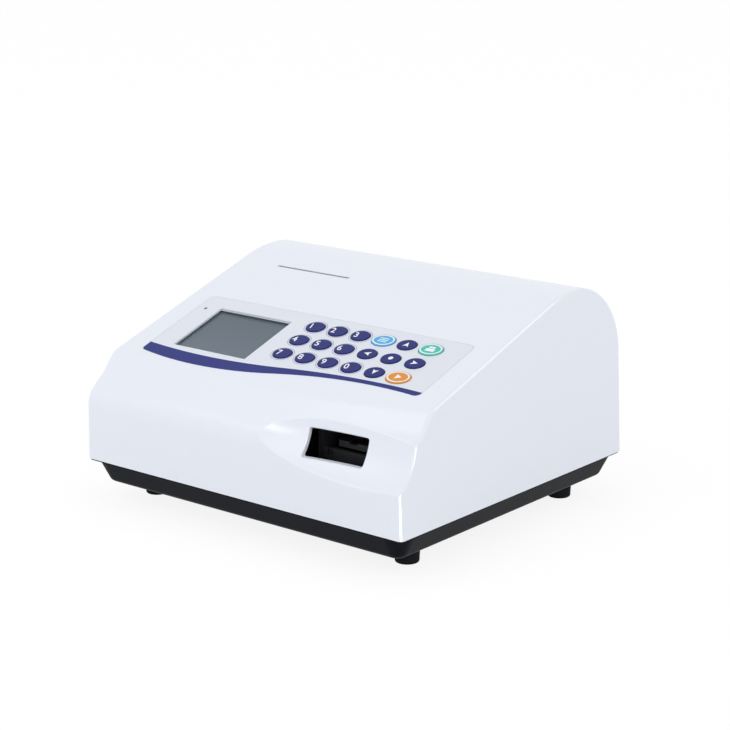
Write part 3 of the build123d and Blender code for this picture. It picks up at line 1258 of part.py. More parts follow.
def door_hinge_pins():
    """The two steel pins from the cover's ears into the door's barrel."""
    pins = []
    for side in (-1, 1):
        edge = PRINTER_X + side * (DOOR_WIDTH / 2 - HINGE_PIN_GRIP)
        end = PRINTER_X + side * (DOOR_WIDTH / 2 + DOOR_GAP + EAR_WIDTH - 1)
        pins.append(along_x(HINGE_PIN_RADIUS, min(edge, end), max(edge, end), hinge_y(), DOOR_HINGE_Z))
    return Compound(children=pins)


# Rear panel and connectors


def panel_cutout(x, z, width, height):
    """A rectangular hole in the rear panel."""
    return Pos(x, REAR_SEAT_Y, z) * Box(width + 2 * CUTOUT_GAP, 4 * WALL, height + 2 * CUTOUT_GAP)


def rear_panel():
    """The metal panel with its connector openings."""
    plate = Pos(REAR_X, REAR_SEAT_Y + REAR_THICK / 2, REAR_Z) * Box(REAR_WIDTH, REAR_THICK, REAR_HEIGHT)
    plate -= panel_cutout(INLET_X, REAR_Z, INLET_WIDTH, INLET_HEIGHT)
    plate -= panel_cutout(SWITCH_X, REAR_Z, HOUSING_WIDTH, HOUSING_HEIGHT)
    plate -= panel_cutout(SERIAL_X, SERIAL_Z, SERIAL_BODY_WIDTH, SERIAL_BODY_HEIGHT)
    plate -= panel_cutout(USB_X, USB_Z, USB_WIDTH, USB_HEIGHT)
    for x, z in REAR_PLACES:
        plate -= along_y(SCREW_RADIUS + SCREW_GAP, x, REAR_SEAT_Y - 1, REAR_FACE_Y + 1, z)
    return plate


def rear_panel_screws():
    """The four screws of the rear panel."""
    one = Rot(-90, 0, 0) * screw(REAR_THICK + SCREW_GRIP - 1)
    return Compound(children=[Pos(x, REAR_FACE_Y, z) * one for x, z in REAR_PLACES])


def rounded_block(centre, size, corner, y0, y1):
    """A block along Y with rounded long edges, round a point in x and z."""
    outline = RectangleRounded(*size, corner)
    return Pos(centre[0], y1, centre[1]) * Rot(90, 0, 0) * extrude(outline, amount=y1 - y0)


def grown(size, amount):
    """A width and height with so much more in all."""
    return size[0] + amount, size[1] + amount


def mains_inlet():
    """The mains inlet: rim, body, socket and its three flat pins."""
    face = REAR_FACE_Y
    front = face + INLET_RIM
    floor = front - INLET_SOCKET_DEPTH
    place = (INLET_X, REAR_Z)
    size = (INLET_WIDTH, INLET_HEIGHT)
    inlet = rounded_block(place, size, INLET_CORNER, face - INLET_DEPTH, face)
    inlet += rounded_block(place, grown(size, 2 * FLANGE_OVER), INLET_CORNER, face, front)
    inlet -= rounded_block(place, grown(size, -2 * INLET_WALL), INLET_CORNER, floor, front + 1)
    half_w, half_h = INLET_PIN_WIDTH / 2, INLET_PIN_HEIGHT / 2
    for across, up in ((-1, -1), (0, 1), (1, -1)):
        x = INLET_X + across * INLET_PIN_PITCH
        z = REAR_Z + up * INLET_PIN_OFFSET
        inlet += span_box(x - half_w, x + half_w, floor - 1, front - INLET_PIN_SUNK, z - half_h, z + half_h)
    return inlet


def power_switch_housing():
    """The rocker's housing, with the two holes that carry its trunnions."""
    face = REAR_FACE_Y
    back = face - HOUSING_DEPTH
    place = (SWITCH_X, REAR_Z)
    size = (HOUSING_WIDTH, HOUSING_HEIGHT)
    body = rounded_block(place, size, HOUSING_CORNER, back, face)
    body += rounded_block(place, grown(size, FLANGE_OVER), HOUSING_CORNER, face, face + HOUSING_RIM)
    width = HOUSING_WIDTH / 2 - HOUSING_WALL
    height = HOUSING_HEIGHT / 2 - HOUSING_WALL
    front = face + HOUSING_RIM + 1
    body -= span_box(SWITCH_X - width, SWITCH_X + width, back + WALL, front, REAR_Z - height, REAR_Z + height)
    reach = width + TRUNNION_LENGTH
    y = face + HOUSING_RIM - ROCKER_PIVOT_DEPTH
    return body - along_x(TRUNNION_RADIUS + FIT, SWITCH_X - reach, SWITCH_X + reach, y, REAR_Z)


def power_rocker():
    """The rocker, tilted to its off side, on its trunnions."""
    half = ROCKER_LENGTH / 2
    rise = ROCKER_PIVOT_DEPTH - ROCKER_SUNK
    heel = ROCKER_HEEL / 2
    front = [(rise, -half), (rise - ROCKER_DISH, 0), (rise, half)]
    back = [(0, half), (-ROCKER_HEEL / 2, heel), (-ROCKER_HEEL / 2, -heel), (0, -half)]
    width = HOUSING_WIDTH / 2 - HOUSING_WALL - ROCKER_GAP
    rocker = extrude(Plane.YZ * make_face(Polyline(*front, *back, close=True)), amount=width, both=True)
    rocker += along_x(TRUNNION_RADIUS, -width - TRUNNION_LENGTH, width + TRUNNION_LENGTH, 0, 0)
    y = REAR_FACE_Y + HOUSING_RIM - ROCKER_PIVOT_DEPTH
    return Pos(SWITCH_X, y, REAR_Z) * Rot(ROCKER_TILT, 0, 0) * rocker


def serial_connector():
    """The nine-pin data connector with its two jack screws."""
    face = REAR_FACE_Y
    flange_y = face + SERIAL_FLANGE_THICK
    end_y = flange_y + SERIAL_SHELL_LENGTH
    place = (SERIAL_X, SERIAL_Z)
    body = (SERIAL_BODY_WIDTH, SERIAL_BODY_HEIGHT)
    flange = (SERIAL_FLANGE_WIDTH, SERIAL_FLANGE_HEIGHT)
    shell = (SERIAL_SHELL_WIDTH, SERIAL_SHELL_HEIGHT)
    piece = rounded_block(place, body, SERIAL_CORNER, face - SERIAL_DEPTH, face)
    piece += rounded_block(place, flange, SERIAL_CORNER, face, flange_y)
    piece += rounded_block(place, shell, SERIAL_CORNER, flange_y, end_y)
    piece -= rounded_block(place, grown(shell, -2 * SERIAL_SHELL_WALL), SERIAL_CORNER, flange_y, end_y + 1)
    for row, count in ((1, 5), (-1, 4)):
        for pin in range(count):
            x = SERIAL_X + (pin - (count - 1) / 2) * SERIAL_PIN_PITCH
            z = SERIAL_Z + row * SERIAL_ROW_OFFSET
            piece += along_y(SERIAL_PIN_RADIUS, x, flange_y - SERIAL_PIN_RADIUS, end_y - SERIAL_PIN_SUNK, z)
    for side in (-1, 1):
        x = SERIAL_X + side * JACK_SPACING / 2
        nut = extrude(RegularPolygon(JACK_FLATS / 2, 6, major_radius=False), amount=JACK_LENGTH)
        piece += Pos(x, flange_y + JACK_LENGTH, SERIAL_Z) * Rot(90, 0, 0) * nut
        piece -= along_y(JACK_HOLE_RADIUS, x, flange_y, flange_y + JACK_LENGTH + 1, SERIAL_Z)
    return piece


def usb_port():
    """The square data socket with its tongue."""
    face = REAR_FACE_Y
    end = face + USB_PROUD
    floor = end - USB_SOCKET_DEPTH
    place = (USB_X, USB_Z)
    port = rounded_block(place, (USB_WIDTH, USB_HEIGHT), USB_CORNER, face - USB_DEPTH, end)
    port -= rounded_block(place, (USB_SOCKET_WIDTH, USB_SOCKET_HEIGHT), USB_CORNER, floor, end + 1)
    tongue = (USB_TONGUE_WIDTH, USB_TONGUE_HEIGHT)
    return port + rounded_block(place, tongue, USB_CORNER / 2, floor - 1, end - USB_TONGUE_SUNK)


# Boards inside


def flat_board(x, y, width, depth, places):
    """A board on its bosses, with its corner holes."""
    board = Pos(x, y, BOARD_Z + BOARD_THICK / 2) * Box(width, depth, BOARD_THICK)
    for px, py in places:
        board -= along_z(SCREW_RADIUS + SCREW_GAP, px, py, BOARD_Z - 1, BOARD_Z + BOARD_THICK + 1)
    return board


def main_board():
    """The main board."""
    return flat_board(MAIN_BOARD_X, MAIN_BOARD_Y, MAIN_BOARD_WIDTH, MAIN_BOARD_DEPTH, MAIN_PLACES)


def on_main_board(x, y, width, depth, height):
    """A component on the main board, placed from the board's middle."""
    z = BOARD_Z + BOARD_THICK
    return span_box(MAIN_BOARD_X + x - width / 2, MAIN_BOARD_X + x + width / 2,
                    MAIN_BOARD_Y + y - depth / 2, MAIN_BOARD_Y + y + depth / 2, z, z + height)


def board_chips():
    """The main board's processor, memories, relay, connectors and capacitors."""
    z = BOARD_Z + BOARD_THICK
    pieces = [on_main_board(*part) for part in MAIN_BOARD_PARTS]
    for x, width, _, _, foot_y in ribbon_ends():
        socket = Box(width + 2 * SOCKET_WALL, SOCKET_DEPTH, SOCKET_HEIGHT)
        pieces.append(Pos(x, foot_y, z + SOCKET_HEIGHT / 2) * socket)
    for step in range(CAPACITOR_COUNT):
        x = MAIN_BOARD_X + CAPACITOR_ROW_X
        y = MAIN_BOARD_Y + CAPACITOR_ROW_Y + step * CAPACITOR_PITCH
        pieces.append(along_z(CAPACITOR_RADIUS, x, y, z, z + CAPACITOR_HEIGHT))
    return Compound(children=pieces)


def power_supply():
    """The power supply: its board with transformer, capacitors and heat sink."""
    z = BOARD_Z + BOARD_THICK
    supply = flat_board(POWER_BOARD_X, POWER_BOARD_Y, POWER_BOARD_WIDTH, POWER_BOARD_DEPTH, POWER_PLACES)
    core = Box(TRANSFORMER_WIDTH, TRANSFORMER_DEPTH, TRANSFORMER_HEIGHT)
    core = fillet(core.edges().filter_by(Axis.Z), TRANSFORMER_CORNER)
    core_x = POWER_BOARD_X + TRANSFORMER_X
    core_y = POWER_BOARD_Y + TRANSFORMER_Y
    supply += Pos(core_x, core_y, z + TRANSFORMER_HEIGHT / 2) * core
    for x, y, radius, height in (STORE_CAPACITOR, OUTPUT_CAPACITOR):
        supply += along_z(radius, POWER_BOARD_X + x, POWER_BOARD_Y + y, z, z + height)
    sink = Box(HEAT_SINK_WIDTH, HEAT_SINK_THICK, HEAT_SINK_HEIGHT)
    return supply + Pos(POWER_BOARD_X, POWER_BOARD_Y + HEAT_SINK_Y, z + HEAT_SINK_HEIGHT / 2) * sink


def ribbon(points, x0, x1):
    """A flat cable: a strip along rounded runs in the side view, between x0 and x1."""
    path = FilletPolyline(*points, radius=RIBBON_BEND)
    band = extrude(Plane.YZ * make_face(offset(path, RIBBON_THICK / 2, side=Side.BOTH)), amount=x1 - x0)
    return Pos(x0, 0, 0) * band


def ribbon_ends():
    """Each flat cable: its middle in x, width, top in y and z, and the y of its socket on the main board."""
    keypad_y, keypad_z = panel_yz(KEYPAD_BOARD_S, BOARD_BOTTOM)
    head_y, head_z = panel_yz(SLOT_S - HEAD_THICK / 2, -HEAD_DEPTH - HEAD_TALL)
    return (
        (KEYPAD_RIBBON_X, KEYPAD_RIBBON_WIDTH, keypad_y, keypad_z, keypad_y + KEYPAD_RIBBON_RUN),
        (HEAD_RIBBON_X, HEAD_RIBBON_WIDTH, head_y, head_z, head_y - HEAD_RIBBON_RUN),
    )


def flat_cables():
    """The flat cables from the keypad board and the print head down to their sockets on the main board."""
    foot_z = BOARD_Z + BOARD_THICK + SOCKET_HEIGHT + RIBBON_GAP + RIBBON_THICK / 2
    bands = []
    for x, width, top_y, top_z, foot_y in ribbon_ends():
        high = top_z - RIBBON_THICK / 2 - RIBBON_GAP
        step = abs(foot_y - top_y)
        middle = (high + foot_z) / 2
        points = [(top_y, high), (top_y, middle + step / 2), (foot_y, middle - step / 2), (foot_y, foot_z)]
        bands.append(ribbon(points, x - width / 2, x + width / 2))
    return Compound(children=bands)


def build():
    """Every node by name."""
    form = case_form(0.0, SEAM_Z)
    form = fillet(side_chain(form), EDGE_RADIUS)
    form = scooped(form)
    nodes = {
        "top_cover": top_cover(with_port(form)),
        "bottom_tray": bottom_tray(),
        "feet": feet(),
        "foot_screws": foot_screws(),
        "case_screws": case_screws(),
        "keypad_overlay": keypad_overlay(),
        "lcd_window": lcd_window(),
        "status_led": status_led(),
        "key_switches": key_switches(),
        "keypad_board": keypad_board(),
        "lcd_module": lcd_module(),
        "main_board": main_board(),
        "board_chips": board_chips(),
        "board_screws": board_screws(),
        "flat_cables": flat_cables(),
        "power_supply": power_supply(),
        "rear_panel": rear_panel(),
        "rear_panel_screws": rear_panel_screws(),
        "mains_inlet": mains_inlet(),
        "power_switch_housing": power_switch_housing(),
        "power_rocker": power_rocker(),
        "serial_connector": serial_connector(),
        "usb_port": usb_port(),
        "transport_frame": transport_frame(),
        "guide_rods": guide_rods(),
        "tray_carriage": tray_carriage(),
        "strip_tray": strip_tray(),
        "tray_pinion": tray_pinion(),
        "tray_motor": tray_motor(),
        "optical_head": optical_head(),
        "sensor_board": sensor_board(),
        "printer_frame": printer_frame(),
        "print_head": print_head(),
        "platen_roller": platen_roller(),
        "platen_gear": platen_gear(),
        "idler_gear": idler_gear(),
        "printer_motor": printer_motor(),
        "printer_motor_gear": printer_motor_gear(),
        "paper_spindle": paper_spindle(),
        "paper_roll": paper_roll(),
        "paper_door": paper_door(form),
        "door_hinge_pins": door_hinge_pins(),
    }
    for name in KEYS:
        nodes[name] = key(name)
    return nodes


os.makedirs("parts", exist_ok=True)
for node, shape in build().items():
    export_step(shape, f"parts/{node}.step")
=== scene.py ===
import json
from math import cos, pi, radians, sin, sqrt

import bmesh
import bpy
from bpy.props import FloatProperty, FloatVectorProperty, PointerProperty
from mathutils import Matrix, Vector
from mathutils.bvhtree import BVHTree

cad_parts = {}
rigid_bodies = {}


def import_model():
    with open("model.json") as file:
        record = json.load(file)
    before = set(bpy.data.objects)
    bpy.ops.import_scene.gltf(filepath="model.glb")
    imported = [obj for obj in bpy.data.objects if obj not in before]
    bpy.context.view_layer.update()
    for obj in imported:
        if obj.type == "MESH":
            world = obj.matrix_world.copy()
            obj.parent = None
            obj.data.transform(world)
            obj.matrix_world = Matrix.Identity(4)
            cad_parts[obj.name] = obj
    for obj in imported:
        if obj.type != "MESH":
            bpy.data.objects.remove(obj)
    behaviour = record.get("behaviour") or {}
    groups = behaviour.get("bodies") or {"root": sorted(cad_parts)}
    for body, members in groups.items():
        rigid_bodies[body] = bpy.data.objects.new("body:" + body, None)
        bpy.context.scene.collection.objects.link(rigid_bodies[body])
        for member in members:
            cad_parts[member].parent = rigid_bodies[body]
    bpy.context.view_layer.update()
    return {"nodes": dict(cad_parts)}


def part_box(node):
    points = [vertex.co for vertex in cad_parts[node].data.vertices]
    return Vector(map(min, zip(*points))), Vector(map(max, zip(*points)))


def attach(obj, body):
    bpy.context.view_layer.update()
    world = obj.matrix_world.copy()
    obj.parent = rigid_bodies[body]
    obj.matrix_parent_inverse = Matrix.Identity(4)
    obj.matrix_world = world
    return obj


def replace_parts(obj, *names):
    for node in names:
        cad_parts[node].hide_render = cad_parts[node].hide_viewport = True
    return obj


# The looks of a bench urine analyzer: finishes for its packed parts, the prints on its panel, the
# small parts that repeat, and the studio it stands in. Metres, in the packed model's own frame.

bl_info = {
    "name": "Urine analyzer",
    "version": (1, 0, 0),
    "blender": (4, 5, 0),
    "location": "View3D > Sidebar > Analyzer",
    "description": "Finishes, prints, fasteners and studio for a bench urine analyzer",
    "category": "Object",
}

for stray in list(bpy.data.objects):
    bpy.data.objects.remove(stray)

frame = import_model()
NODES = frame["nodes"]
MM = 0.001

# The sloping panel: x across it, y up the slope, z out of it
PANEL_TILT = radians(18.7)
PANEL_HEIGHT = 131.4215 * MM
PANEL = Matrix.Translation((0, 0, PANEL_HEIGHT)) @ Matrix.Rotation(PANEL_TILT, 4, "X")

# The printer's slot, on the panel
SLOT_MIDDLE = (-62.0 * MM, 31.0 * MM)
SLOT_BREADTH = 1.6 * MM

DIGIT_KEYS = {f"key_{digit}": str(digit) for digit in range(10)}
ARROW_KEYS = {"key_right": 0, "key_up": 90, "key_left": 180, "key_down": 270}
WIDE_KEYS = ("key_menu", "key_print", "key_start")

# Outer screws in millimetres: where they stand along each axis, their length, and their turn
SCREWS = (
    ("case_screws", (-118, 118), (-66, 62), (20.0,), 18.65, (pi, 0, 0)),
    ("foot_screws", (-108.5, 108.5), (-81, 85), (6.0,), 13.0, (pi, 0, 0)),
    ("rear_panel_screws", (22.5, 113.5), (113.2,), (43.5, 80.5), 5.2, (-pi / 2, 0, 0)),
)

# Straight lengths in a circle, in each rounded end of the stripe and along the stripe
CIRCLE_SIDES = 48
END_STEPS = 16
STRIPE_STEPS = 150

# The digits' slant, the breadths of the rocker's marks, and the height that marks are laid on from
DIGIT_SHEAR = -0.25
ROCKER_BAR = 0.7 * MM
ROCKER_RING = 0.6 * MM
CLEAR_ABOVE = 20 * MM

# Each lamp's name, place, width and height, and setting of power, with a turn if it isn't aimed
FACING_UP = Matrix.Rotation(pi / 4, 4, "Z") @ Matrix.Rotation(pi, 4, "Y")
AIM = Vector((0, 0, 0.08))
LAMPS = (
    ("key_lamp", (-0.9, -1.5, 1.7), (1.4, 1.4), "key_power", None),
    ("strip_lamp", (1.3, -0.2, 1.1), (0.15, 1.2), "rim_power", None),
    ("low_edge_lamp", (0.36, -0.35, 0.006), (0.1, 0.5), "low_power", FACING_UP),
    ("edge_lamp", (0.95, -0.75, 0.3), (0.25, 0.6), "edge_power", None),
    ("top_edge_lamp", (0.75, 0.62, 1.15), (0.3, 0.3), "top_power", None),
    ("scoop_lamp", (-0.118, -1.24, 0.47), (0.2, 0.2), "scoop_power", None),
)
# These lamps only show as highlights
GLINTS = ("low_edge_lamp", "edge_lamp", "top_edge_lamp", "scoop_lamp")

SENSOR_WIDTH = 36.0
CAMERA_SHIFT = (0.00893, 0.00511)
CLIP_END = 100.0
WHITE = (1, 1, 1, 1)
FLOOR_GLOW = 1.02


def linear(colour):
    """A colour written as sRGB hex, as the linear values that shaders take."""
    channels = [int(colour[i:i + 2], 16) / 255 for i in (1, 3, 5)]
    return [c / 12.92 if c <= 0.04045 else ((c + 0.055) / 1.055) ** 2.4 for c in channels] + [1.0]


def colour_property(name, description, default):
    """A colour that a user can change."""
    return FloatVectorProperty(name=name, description=description, size=4, subtype="COLOR",
                               default=linear(default), min=0.0, max=1.0)


def length_property(name, description, default):
    """A length that a user can change, given in millimetres."""
    return FloatProperty(name=name, description=description, default=default * MM, min=0.0,
                         precision=5, subtype="DISTANCE", unit="LENGTH")


def angle_property(name, description, default):
    """An angle that a user can change, given in degrees."""
    return FloatProperty(name=name, description=description, default=radians(default),
                         subtype="ANGLE", unit="ROTATION")


def power_property(name, description, default):
    """A lamp's power that a user can change."""
    return FloatProperty(name=name, description=description, default=default, min=0.0, unit="POWER")


class AnalyzerColours(bpy.types.PropertyGroup):
    """The colours of the analyzer's parts and prints."""

    shell: colour_property("Shell", "White ABS of the cover and the paper door", "#e6ebf5")
    base: colour_property("Base", "Black ABS of the tray", "#080c15")
    sheet: colour_property("Sheet", "Polyester sheet on the sloping panel", "#dde2ec")
    # Painted light: a pale band along the window's top and left sides, where the window's lit inner
    # wall would show
    stripe: colour_property("Stripe", "Ink of the curved stripe", "#363d80")
    line: colour_property("Ring line", "Ink of the thin rings round the keys", "#8892bb")
    border: colour_property("Window border", "Ink along two sides of the window", "#b2b9c5")
    navy: colour_property("Navy key", "Digit and arrow keys", "#293074")
    light_blue: colour_property("Light blue key", "First wide key", "#55ade1")
    green: colour_property("Green key", "Second wide key", "#51c2b6")
    orange: colour_property("Orange key", "Third wide key", "#e0953d")
    legend: colour_property("Legend", "White ink on the keys", "#f2f4f8")
    glass: colour_property("Display glass", "Unlit display", "#798795")


class AnalyzerSizes(bpy.types.PropertyGroup):
    """The sizes of the prints and of the small parts that repeat."""

    ink: length_property("Ink", "Thickness of a printed layer", 0.03)
    print_margin: length_property("Print margin", "Bare edge of the sheet outside the stripe", 0.12)
    ring_gap: length_property("Ring gap", "From a key's edge to the ring round it", 1.35)
    ring_line: length_property("Ring line", "Width of the ring's line", 0.32)
    band_inset: length_property("Band inset", "From a wide key's edge to the ring on it", 1.25)
    band_line: length_property("Band line", "Width of the ring on a wide key's top", 1.1)
    # Widths of the pale band of painted light along the window's top and left sides
    border_top: length_property("Border at the top", "Width of the ink along the pane's top", 3.0)
    border_left: length_property("Border at the left", "Width of the ink at the pane's left", 2.2)
    digit_height: length_property("Digit height", "Size of the digits on the keys", 7.7)
    digit_weight: length_property("Digit weight", "How much thicker the strokes are drawn", 0.09)
    digit_shift: length_property("Digit shift", "How far left of the middle a digit stands", 3.3)
    arrow_length: length_property("Arrow length", "From an arrow's tip to its back", 5.0)
    tooth_pitch: length_property("Tooth pitch", "Spacing of the tear edge's teeth", 0.8)
    tooth_height: length_property("Tooth height", "Height of the tear edge's teeth", 0.5)
    blade_length: length_property("Blade length", "Length of the tear edge", 63.2)
    blade_height: length_property("Blade height", "Height of the tear edge under its teeth", 1.2)
    blade_thick: length_property("Blade thickness", "Thickness of the tear edge", 0.3)
    blade_depth: length_property("Blade depth", "From the panel down to the foot of the teeth", 0.8)
    mark_height: length_property("Mark height", "Height of the marks on the rocker", 3.2)
    mark_place: length_property("Mark place", "From the rocker's middle to each mark", 4.4)
    screw_head: length_property("Screw head", "Radius of the pan heads", 2.8)
    screw_head_height: length_property("Screw head height", "Height of the pan heads", 2.0)
    screw_shank: length_property("Screw shank", "Radius of the shanks", 1.5)
    recess_width: length_property("Recess width", "Width of the cross recess's arms", 0.75)
    recess_depth: length_property("Recess depth", "Depth of the cross recess", 1.1)


class StudioSettings(bpy.types.PropertyGroup):
    """The camera, the lamps and the floor."""

    lens: FloatProperty(
        name="Lens", description="Focal length in millimetres", default=102.47, min=10.0)
    camera_place: FloatVectorProperty(
        name="Camera", description="Where the camera stands", default=(0.8593, -1.0335, 0.4441),
        subtype="TRANSLATION", unit="LENGTH")
    azimuth: angle_property("Azimuth", "Turn of the view about the vertical", 39.649)
    elevation: angle_property("Elevation", "How steeply the view looks down", 14.826)
    roll: angle_property("Roll", "Turn of the picture about the view", -0.191)
    ambient: FloatProperty(
        name="Ambient", description="Strength of the even light", default=0.86, min=0.0)
    key_power: power_property("Key lamp", "Power of the large lamp", 7.0)
    rim_power: power_property("Strip lamp", "Power of the strip lamp", 1.6)
    floor_size: length_property("Floor", "Width of the floor", 16000)
    floor_shadow: FloatProperty(
        name="Floor shadow", description="How much of the shadow shows", default=0.14, min=0.0,
        max=1.0, subtype="FACTOR")
    low_power: power_property("Low edge lamp", "Power of the strip over the floor", 2.4)
    edge_power: power_property("Edge lamp", "Power of the lamp that marks the front edge", 10.0)
    scoop_power: power_property("Scoop lamp", "Power of the lamp that shows in the scoop", 1.5)
    top_power: power_property("Top edge lamp", "Power of the lamp that marks the top edge", 2.8)


def add(tree, kind, inputs=None, **settings):
    """A new node with its settings; each input is a value, a socket or a node's first output."""
    node = tree.nodes.new(kind)
    for name, value in settings.items():
        setattr(node, name, value)
    for name, value in (inputs or {}).items():
        if isinstance(value, bpy.types.Node):
            value = value.outputs[0]
        if isinstance(value, bpy.types.NodeSocket):
            tree.links.new(value, node.inputs[name])
        else:
            node.inputs[name].default_value = value
    return node


def emptied(owner):
    """The node tree of a material or a world, with nothing in it."""
    owner.use_nodes = True
    owner.node_tree.nodes.clear()
    return owner.node_tree


def surface(name, **values):
    """A new material's tree, its shader with these values, and places in millimetres."""
    material = bpy.data.materials.new(name)
    tree = emptied(material)
    sockets = {key.replace("_", " ").title().replace("Ior", "IOR"): value
               for key, value in values.items()}
    shader = add(tree, "ShaderNodeBsdfPrincipled", sockets)
    add(tree, "ShaderNodeOutputMaterial", {"Surface": shader})
    own = add(tree, "ShaderNodeTexCoord").outputs["Object"]
    places = add(tree, "ShaderNodeMapping", {"Vector": own, "Scale": (1 / MM, 1 / MM, 1 / MM)})
    return material, tree, shader, places


def picked(part):
    """A part's colour, as the sidebar has it."""
    return getattr(bpy.context.scene.analyzer_colours, part)


def tinted(colour, factor):
    """A colour made lighter or darker by a factor."""
    return [min(1.0, channel * factor) for channel in colour[:3]] + [1.0]


def coloured(tree, shader, driver, first, second):
    """Base colour that runs from a first tone to a second one with a pattern."""
    tint = add(tree, "ShaderNodeMix", {0: driver, 6: first, 7: second}, data_type="RGBA")
    tree.links.new(tint.outputs[2], shader.inputs["Base Color"])


def raised(tree, shader, height, relief, strength=1.0):
    """A skin that rises with a pattern, its depth in millimetres."""
    bump = add(tree, "ShaderNodeBump", {
        "Height": height, "Strength": strength, "Distance": relief * MM})
    tree.links.new(bump.outputs["Normal"], shader.inputs["Normal"])


def grained(tree, shader, places, grain, relief):
    """A fine raised grain: its size and its depth in millimetres."""
    skin = add(tree, "ShaderNodeTexNoise", {"Vector": places, "Scale": 1 / grain, "Detail": 2.0})
    raised(tree, shader, skin, relief)


def worn_gloss(tree, shader, driver, low, high):
    """Roughness that follows a pattern between two values."""
    gloss = add(tree, "ShaderNodeMapRange", {"Value": driver, "To Min": low, "To Max": high})
    tree.links.new(gloss.outputs["Result"], shader.inputs["Roughness"])


def moulded(name, colour, spread, patch, gloss, grain, relief, **values):
    """Moulded plastic, rubber or ink, its tone drifting in soft patches over a fine grain."""
    material, tree, shader, places = surface(name, **values)
    flow = add(tree, "ShaderNodeTexNoise", {
        "Vector": places, "Scale": 1 / patch, "Detail": 9.0, "Roughness": 0.8})
    coloured(tree, shader, flow, tinted(colour, 1 + spread), tinted(colour, 1 - spread))
    worn_gloss(tree, shader, flow, *gloss)
    grained(tree, shader, places, grain, relief)
    return material


def brushed(name, colour, gloss, line, relief, along=(0.03, 1.0, 1.0)):
    """Metal with fine parallel lines from rolling or brushing."""
    material, tree, shader, places = surface(name, metallic=1.0)
    stretched = add(tree, "ShaderNodeMapping", {"Vector": places, "Scale": along})
    lines = add(tree, "ShaderNodeTexNoise", {"Vector": stretched, "Scale": 1 / line, "Detail": 3.0})
    coloured(tree, shader, lines, tinted(colour, 1.05), tinted(colour, 0.88))
    worn_gloss(tree, shader, lines, *gloss)
    raised(tree, shader, lines, relief, 0.6)
    return material


def white_shell():
    """Injection-moulded ABS from a polished tool: satin white, faintly blue, with slow flow marks."""
    return moulded("moulded_white_abs", picked("shell"), 0.003, 60.0, (0.22, 0.3), 0.5, 0.004,
                   ior=1.53)


def black_tray():
    """Injection-moulded ABS from a spark-eroded tool: matt black with a fine even grain."""
    return moulded("moulded_black_abs", picked("base"), 0.1, 25.0, (0.38, 0.5), 0.35, 0.02,
                   ior=1.53, specular_ior_level=0.05)


def foot_rubber():
    """Moulded nitrile rubber: dull black, slightly grey where it has picked up dust."""
    return moulded("foot_rubber", linear("#15171a"), 0.25, 4.0, (0.7, 0.88), 0.25, 0.03, ior=1.5,
                   specular_ior_level=0.1)


def platen_rubber():
    """Ground silicone rubber on the platen: dull dark grey with a fine ground skin."""
    return moulded("platen_rubber", linear("#2b2d31"), 0.12, 3.0, (0.55, 0.7), 0.12, 0.01, ior=1.43)


def polyester_sheet():
    """Screen-printed polyester sheet: pale grey-blue, its gloss dulled by a fine velvet emboss."""
    return moulded("polyester_sheet", picked("sheet"), 0.012, 30.0, (0.34, 0.42), 0.18, 0.006,
                   ior=1.57)


def stripe_ink():
    """Screen-printed ink under a clear coat: deep blue, even, softer towards its mesh marks."""
    return moulded("stripe_ink", picked("stripe"), 0.05, 18.0, (0.3, 0.38), 0.18, 0.005, ior=1.5,
                   specular_ior_level=0.05)


def ring_ink():
    """Screen-printed thin line: pale grey-blue ink."""
    return moulded("ring_ink", picked("line"), 0.05, 5.0, (0.35, 0.45), 0.2, 0.003, ior=1.5,
                   specular_ior_level=0.2)


def border_ink():
    """Pale grey ink, satin, along the window's top and left sides: painted light where the window's
    lit inner wall would show.
    """
    return moulded("border_ink", picked("border"), 0.04, 5.0, (0.3, 0.4), 0.2, 0.003, ior=1.5)


def legend_ink():
    """Pad-printed white ink: slightly uneven cover, satin."""
    return moulded("legend_ink", picked("legend"), 0.02, 1.5, (0.35, 0.45), 0.15, 0.003, ior=1.5)


def key_plastic(name, colour):
    """A moulded key cap with a clear hard coat: coloured, smooth, with a soft gloss."""
    return moulded(name, colour, 0.05, 9.0, (0.3, 0.36), 0.3, 0.004, ior=1.5, specular_ior_level=0.08,
                   coat_weight=0.04, coat_roughness=0.12)


def component_epoxy():
    """Moulded epoxy of chips and sockets: matt near-black with a coarse filled grain."""
    return moulded("component_epoxy", linear("#202225"), 0.18, 2.0, (0.5, 0.65), 0.15, 0.02, ior=1.55)


def gear_acetal():
    """Moulded acetal: milky white, slightly waxy."""
    return moulded("gear_acetal", linear("#e3e0d6"), 0.02, 4.0, (0.36, 0.46), 0.3, 0.006, ior=1.48,
                   subsurface_weight=0.1, subsurface_radius=(1.5 * MM, 1.4 * MM, 1.2 * MM))


def cast_block(name, tone, gloss):
    """Blasted aluminium: light grey with a fine pitted skin."""
    return brushed(name, linear(tone), gloss, 0.4, 0.01, along=(1.0, 1.0, 1.0))


def lamp_lens():
    """Clear smoked polycarbonate lens of the lamp, unlit."""
    return moulded("lamp_lens", linear("#6e7684"), 0.08, 0.8, (0.12, 0.2), 0.3, 0.003, ior=1.58,
                   transmission_weight=0.25)


def window_acrylic():
    """Cast acrylic pane: clear, with a faint smoky tint and a hard-coat waviness."""
    material, tree, shader, places = surface(
        "window_acrylic", base_color=linear("#3a4148"), ior=1.49, alpha=0.12)
    haze = add(tree, "ShaderNodeTexNoise", {"Vector": places, "Scale": 1 / 12.0, "Detail": 2.0})
    worn_gloss(tree, shader, haze, 0.01, 0.05)
    grained(tree, shader, places, 8.0, 0.002)
    return material


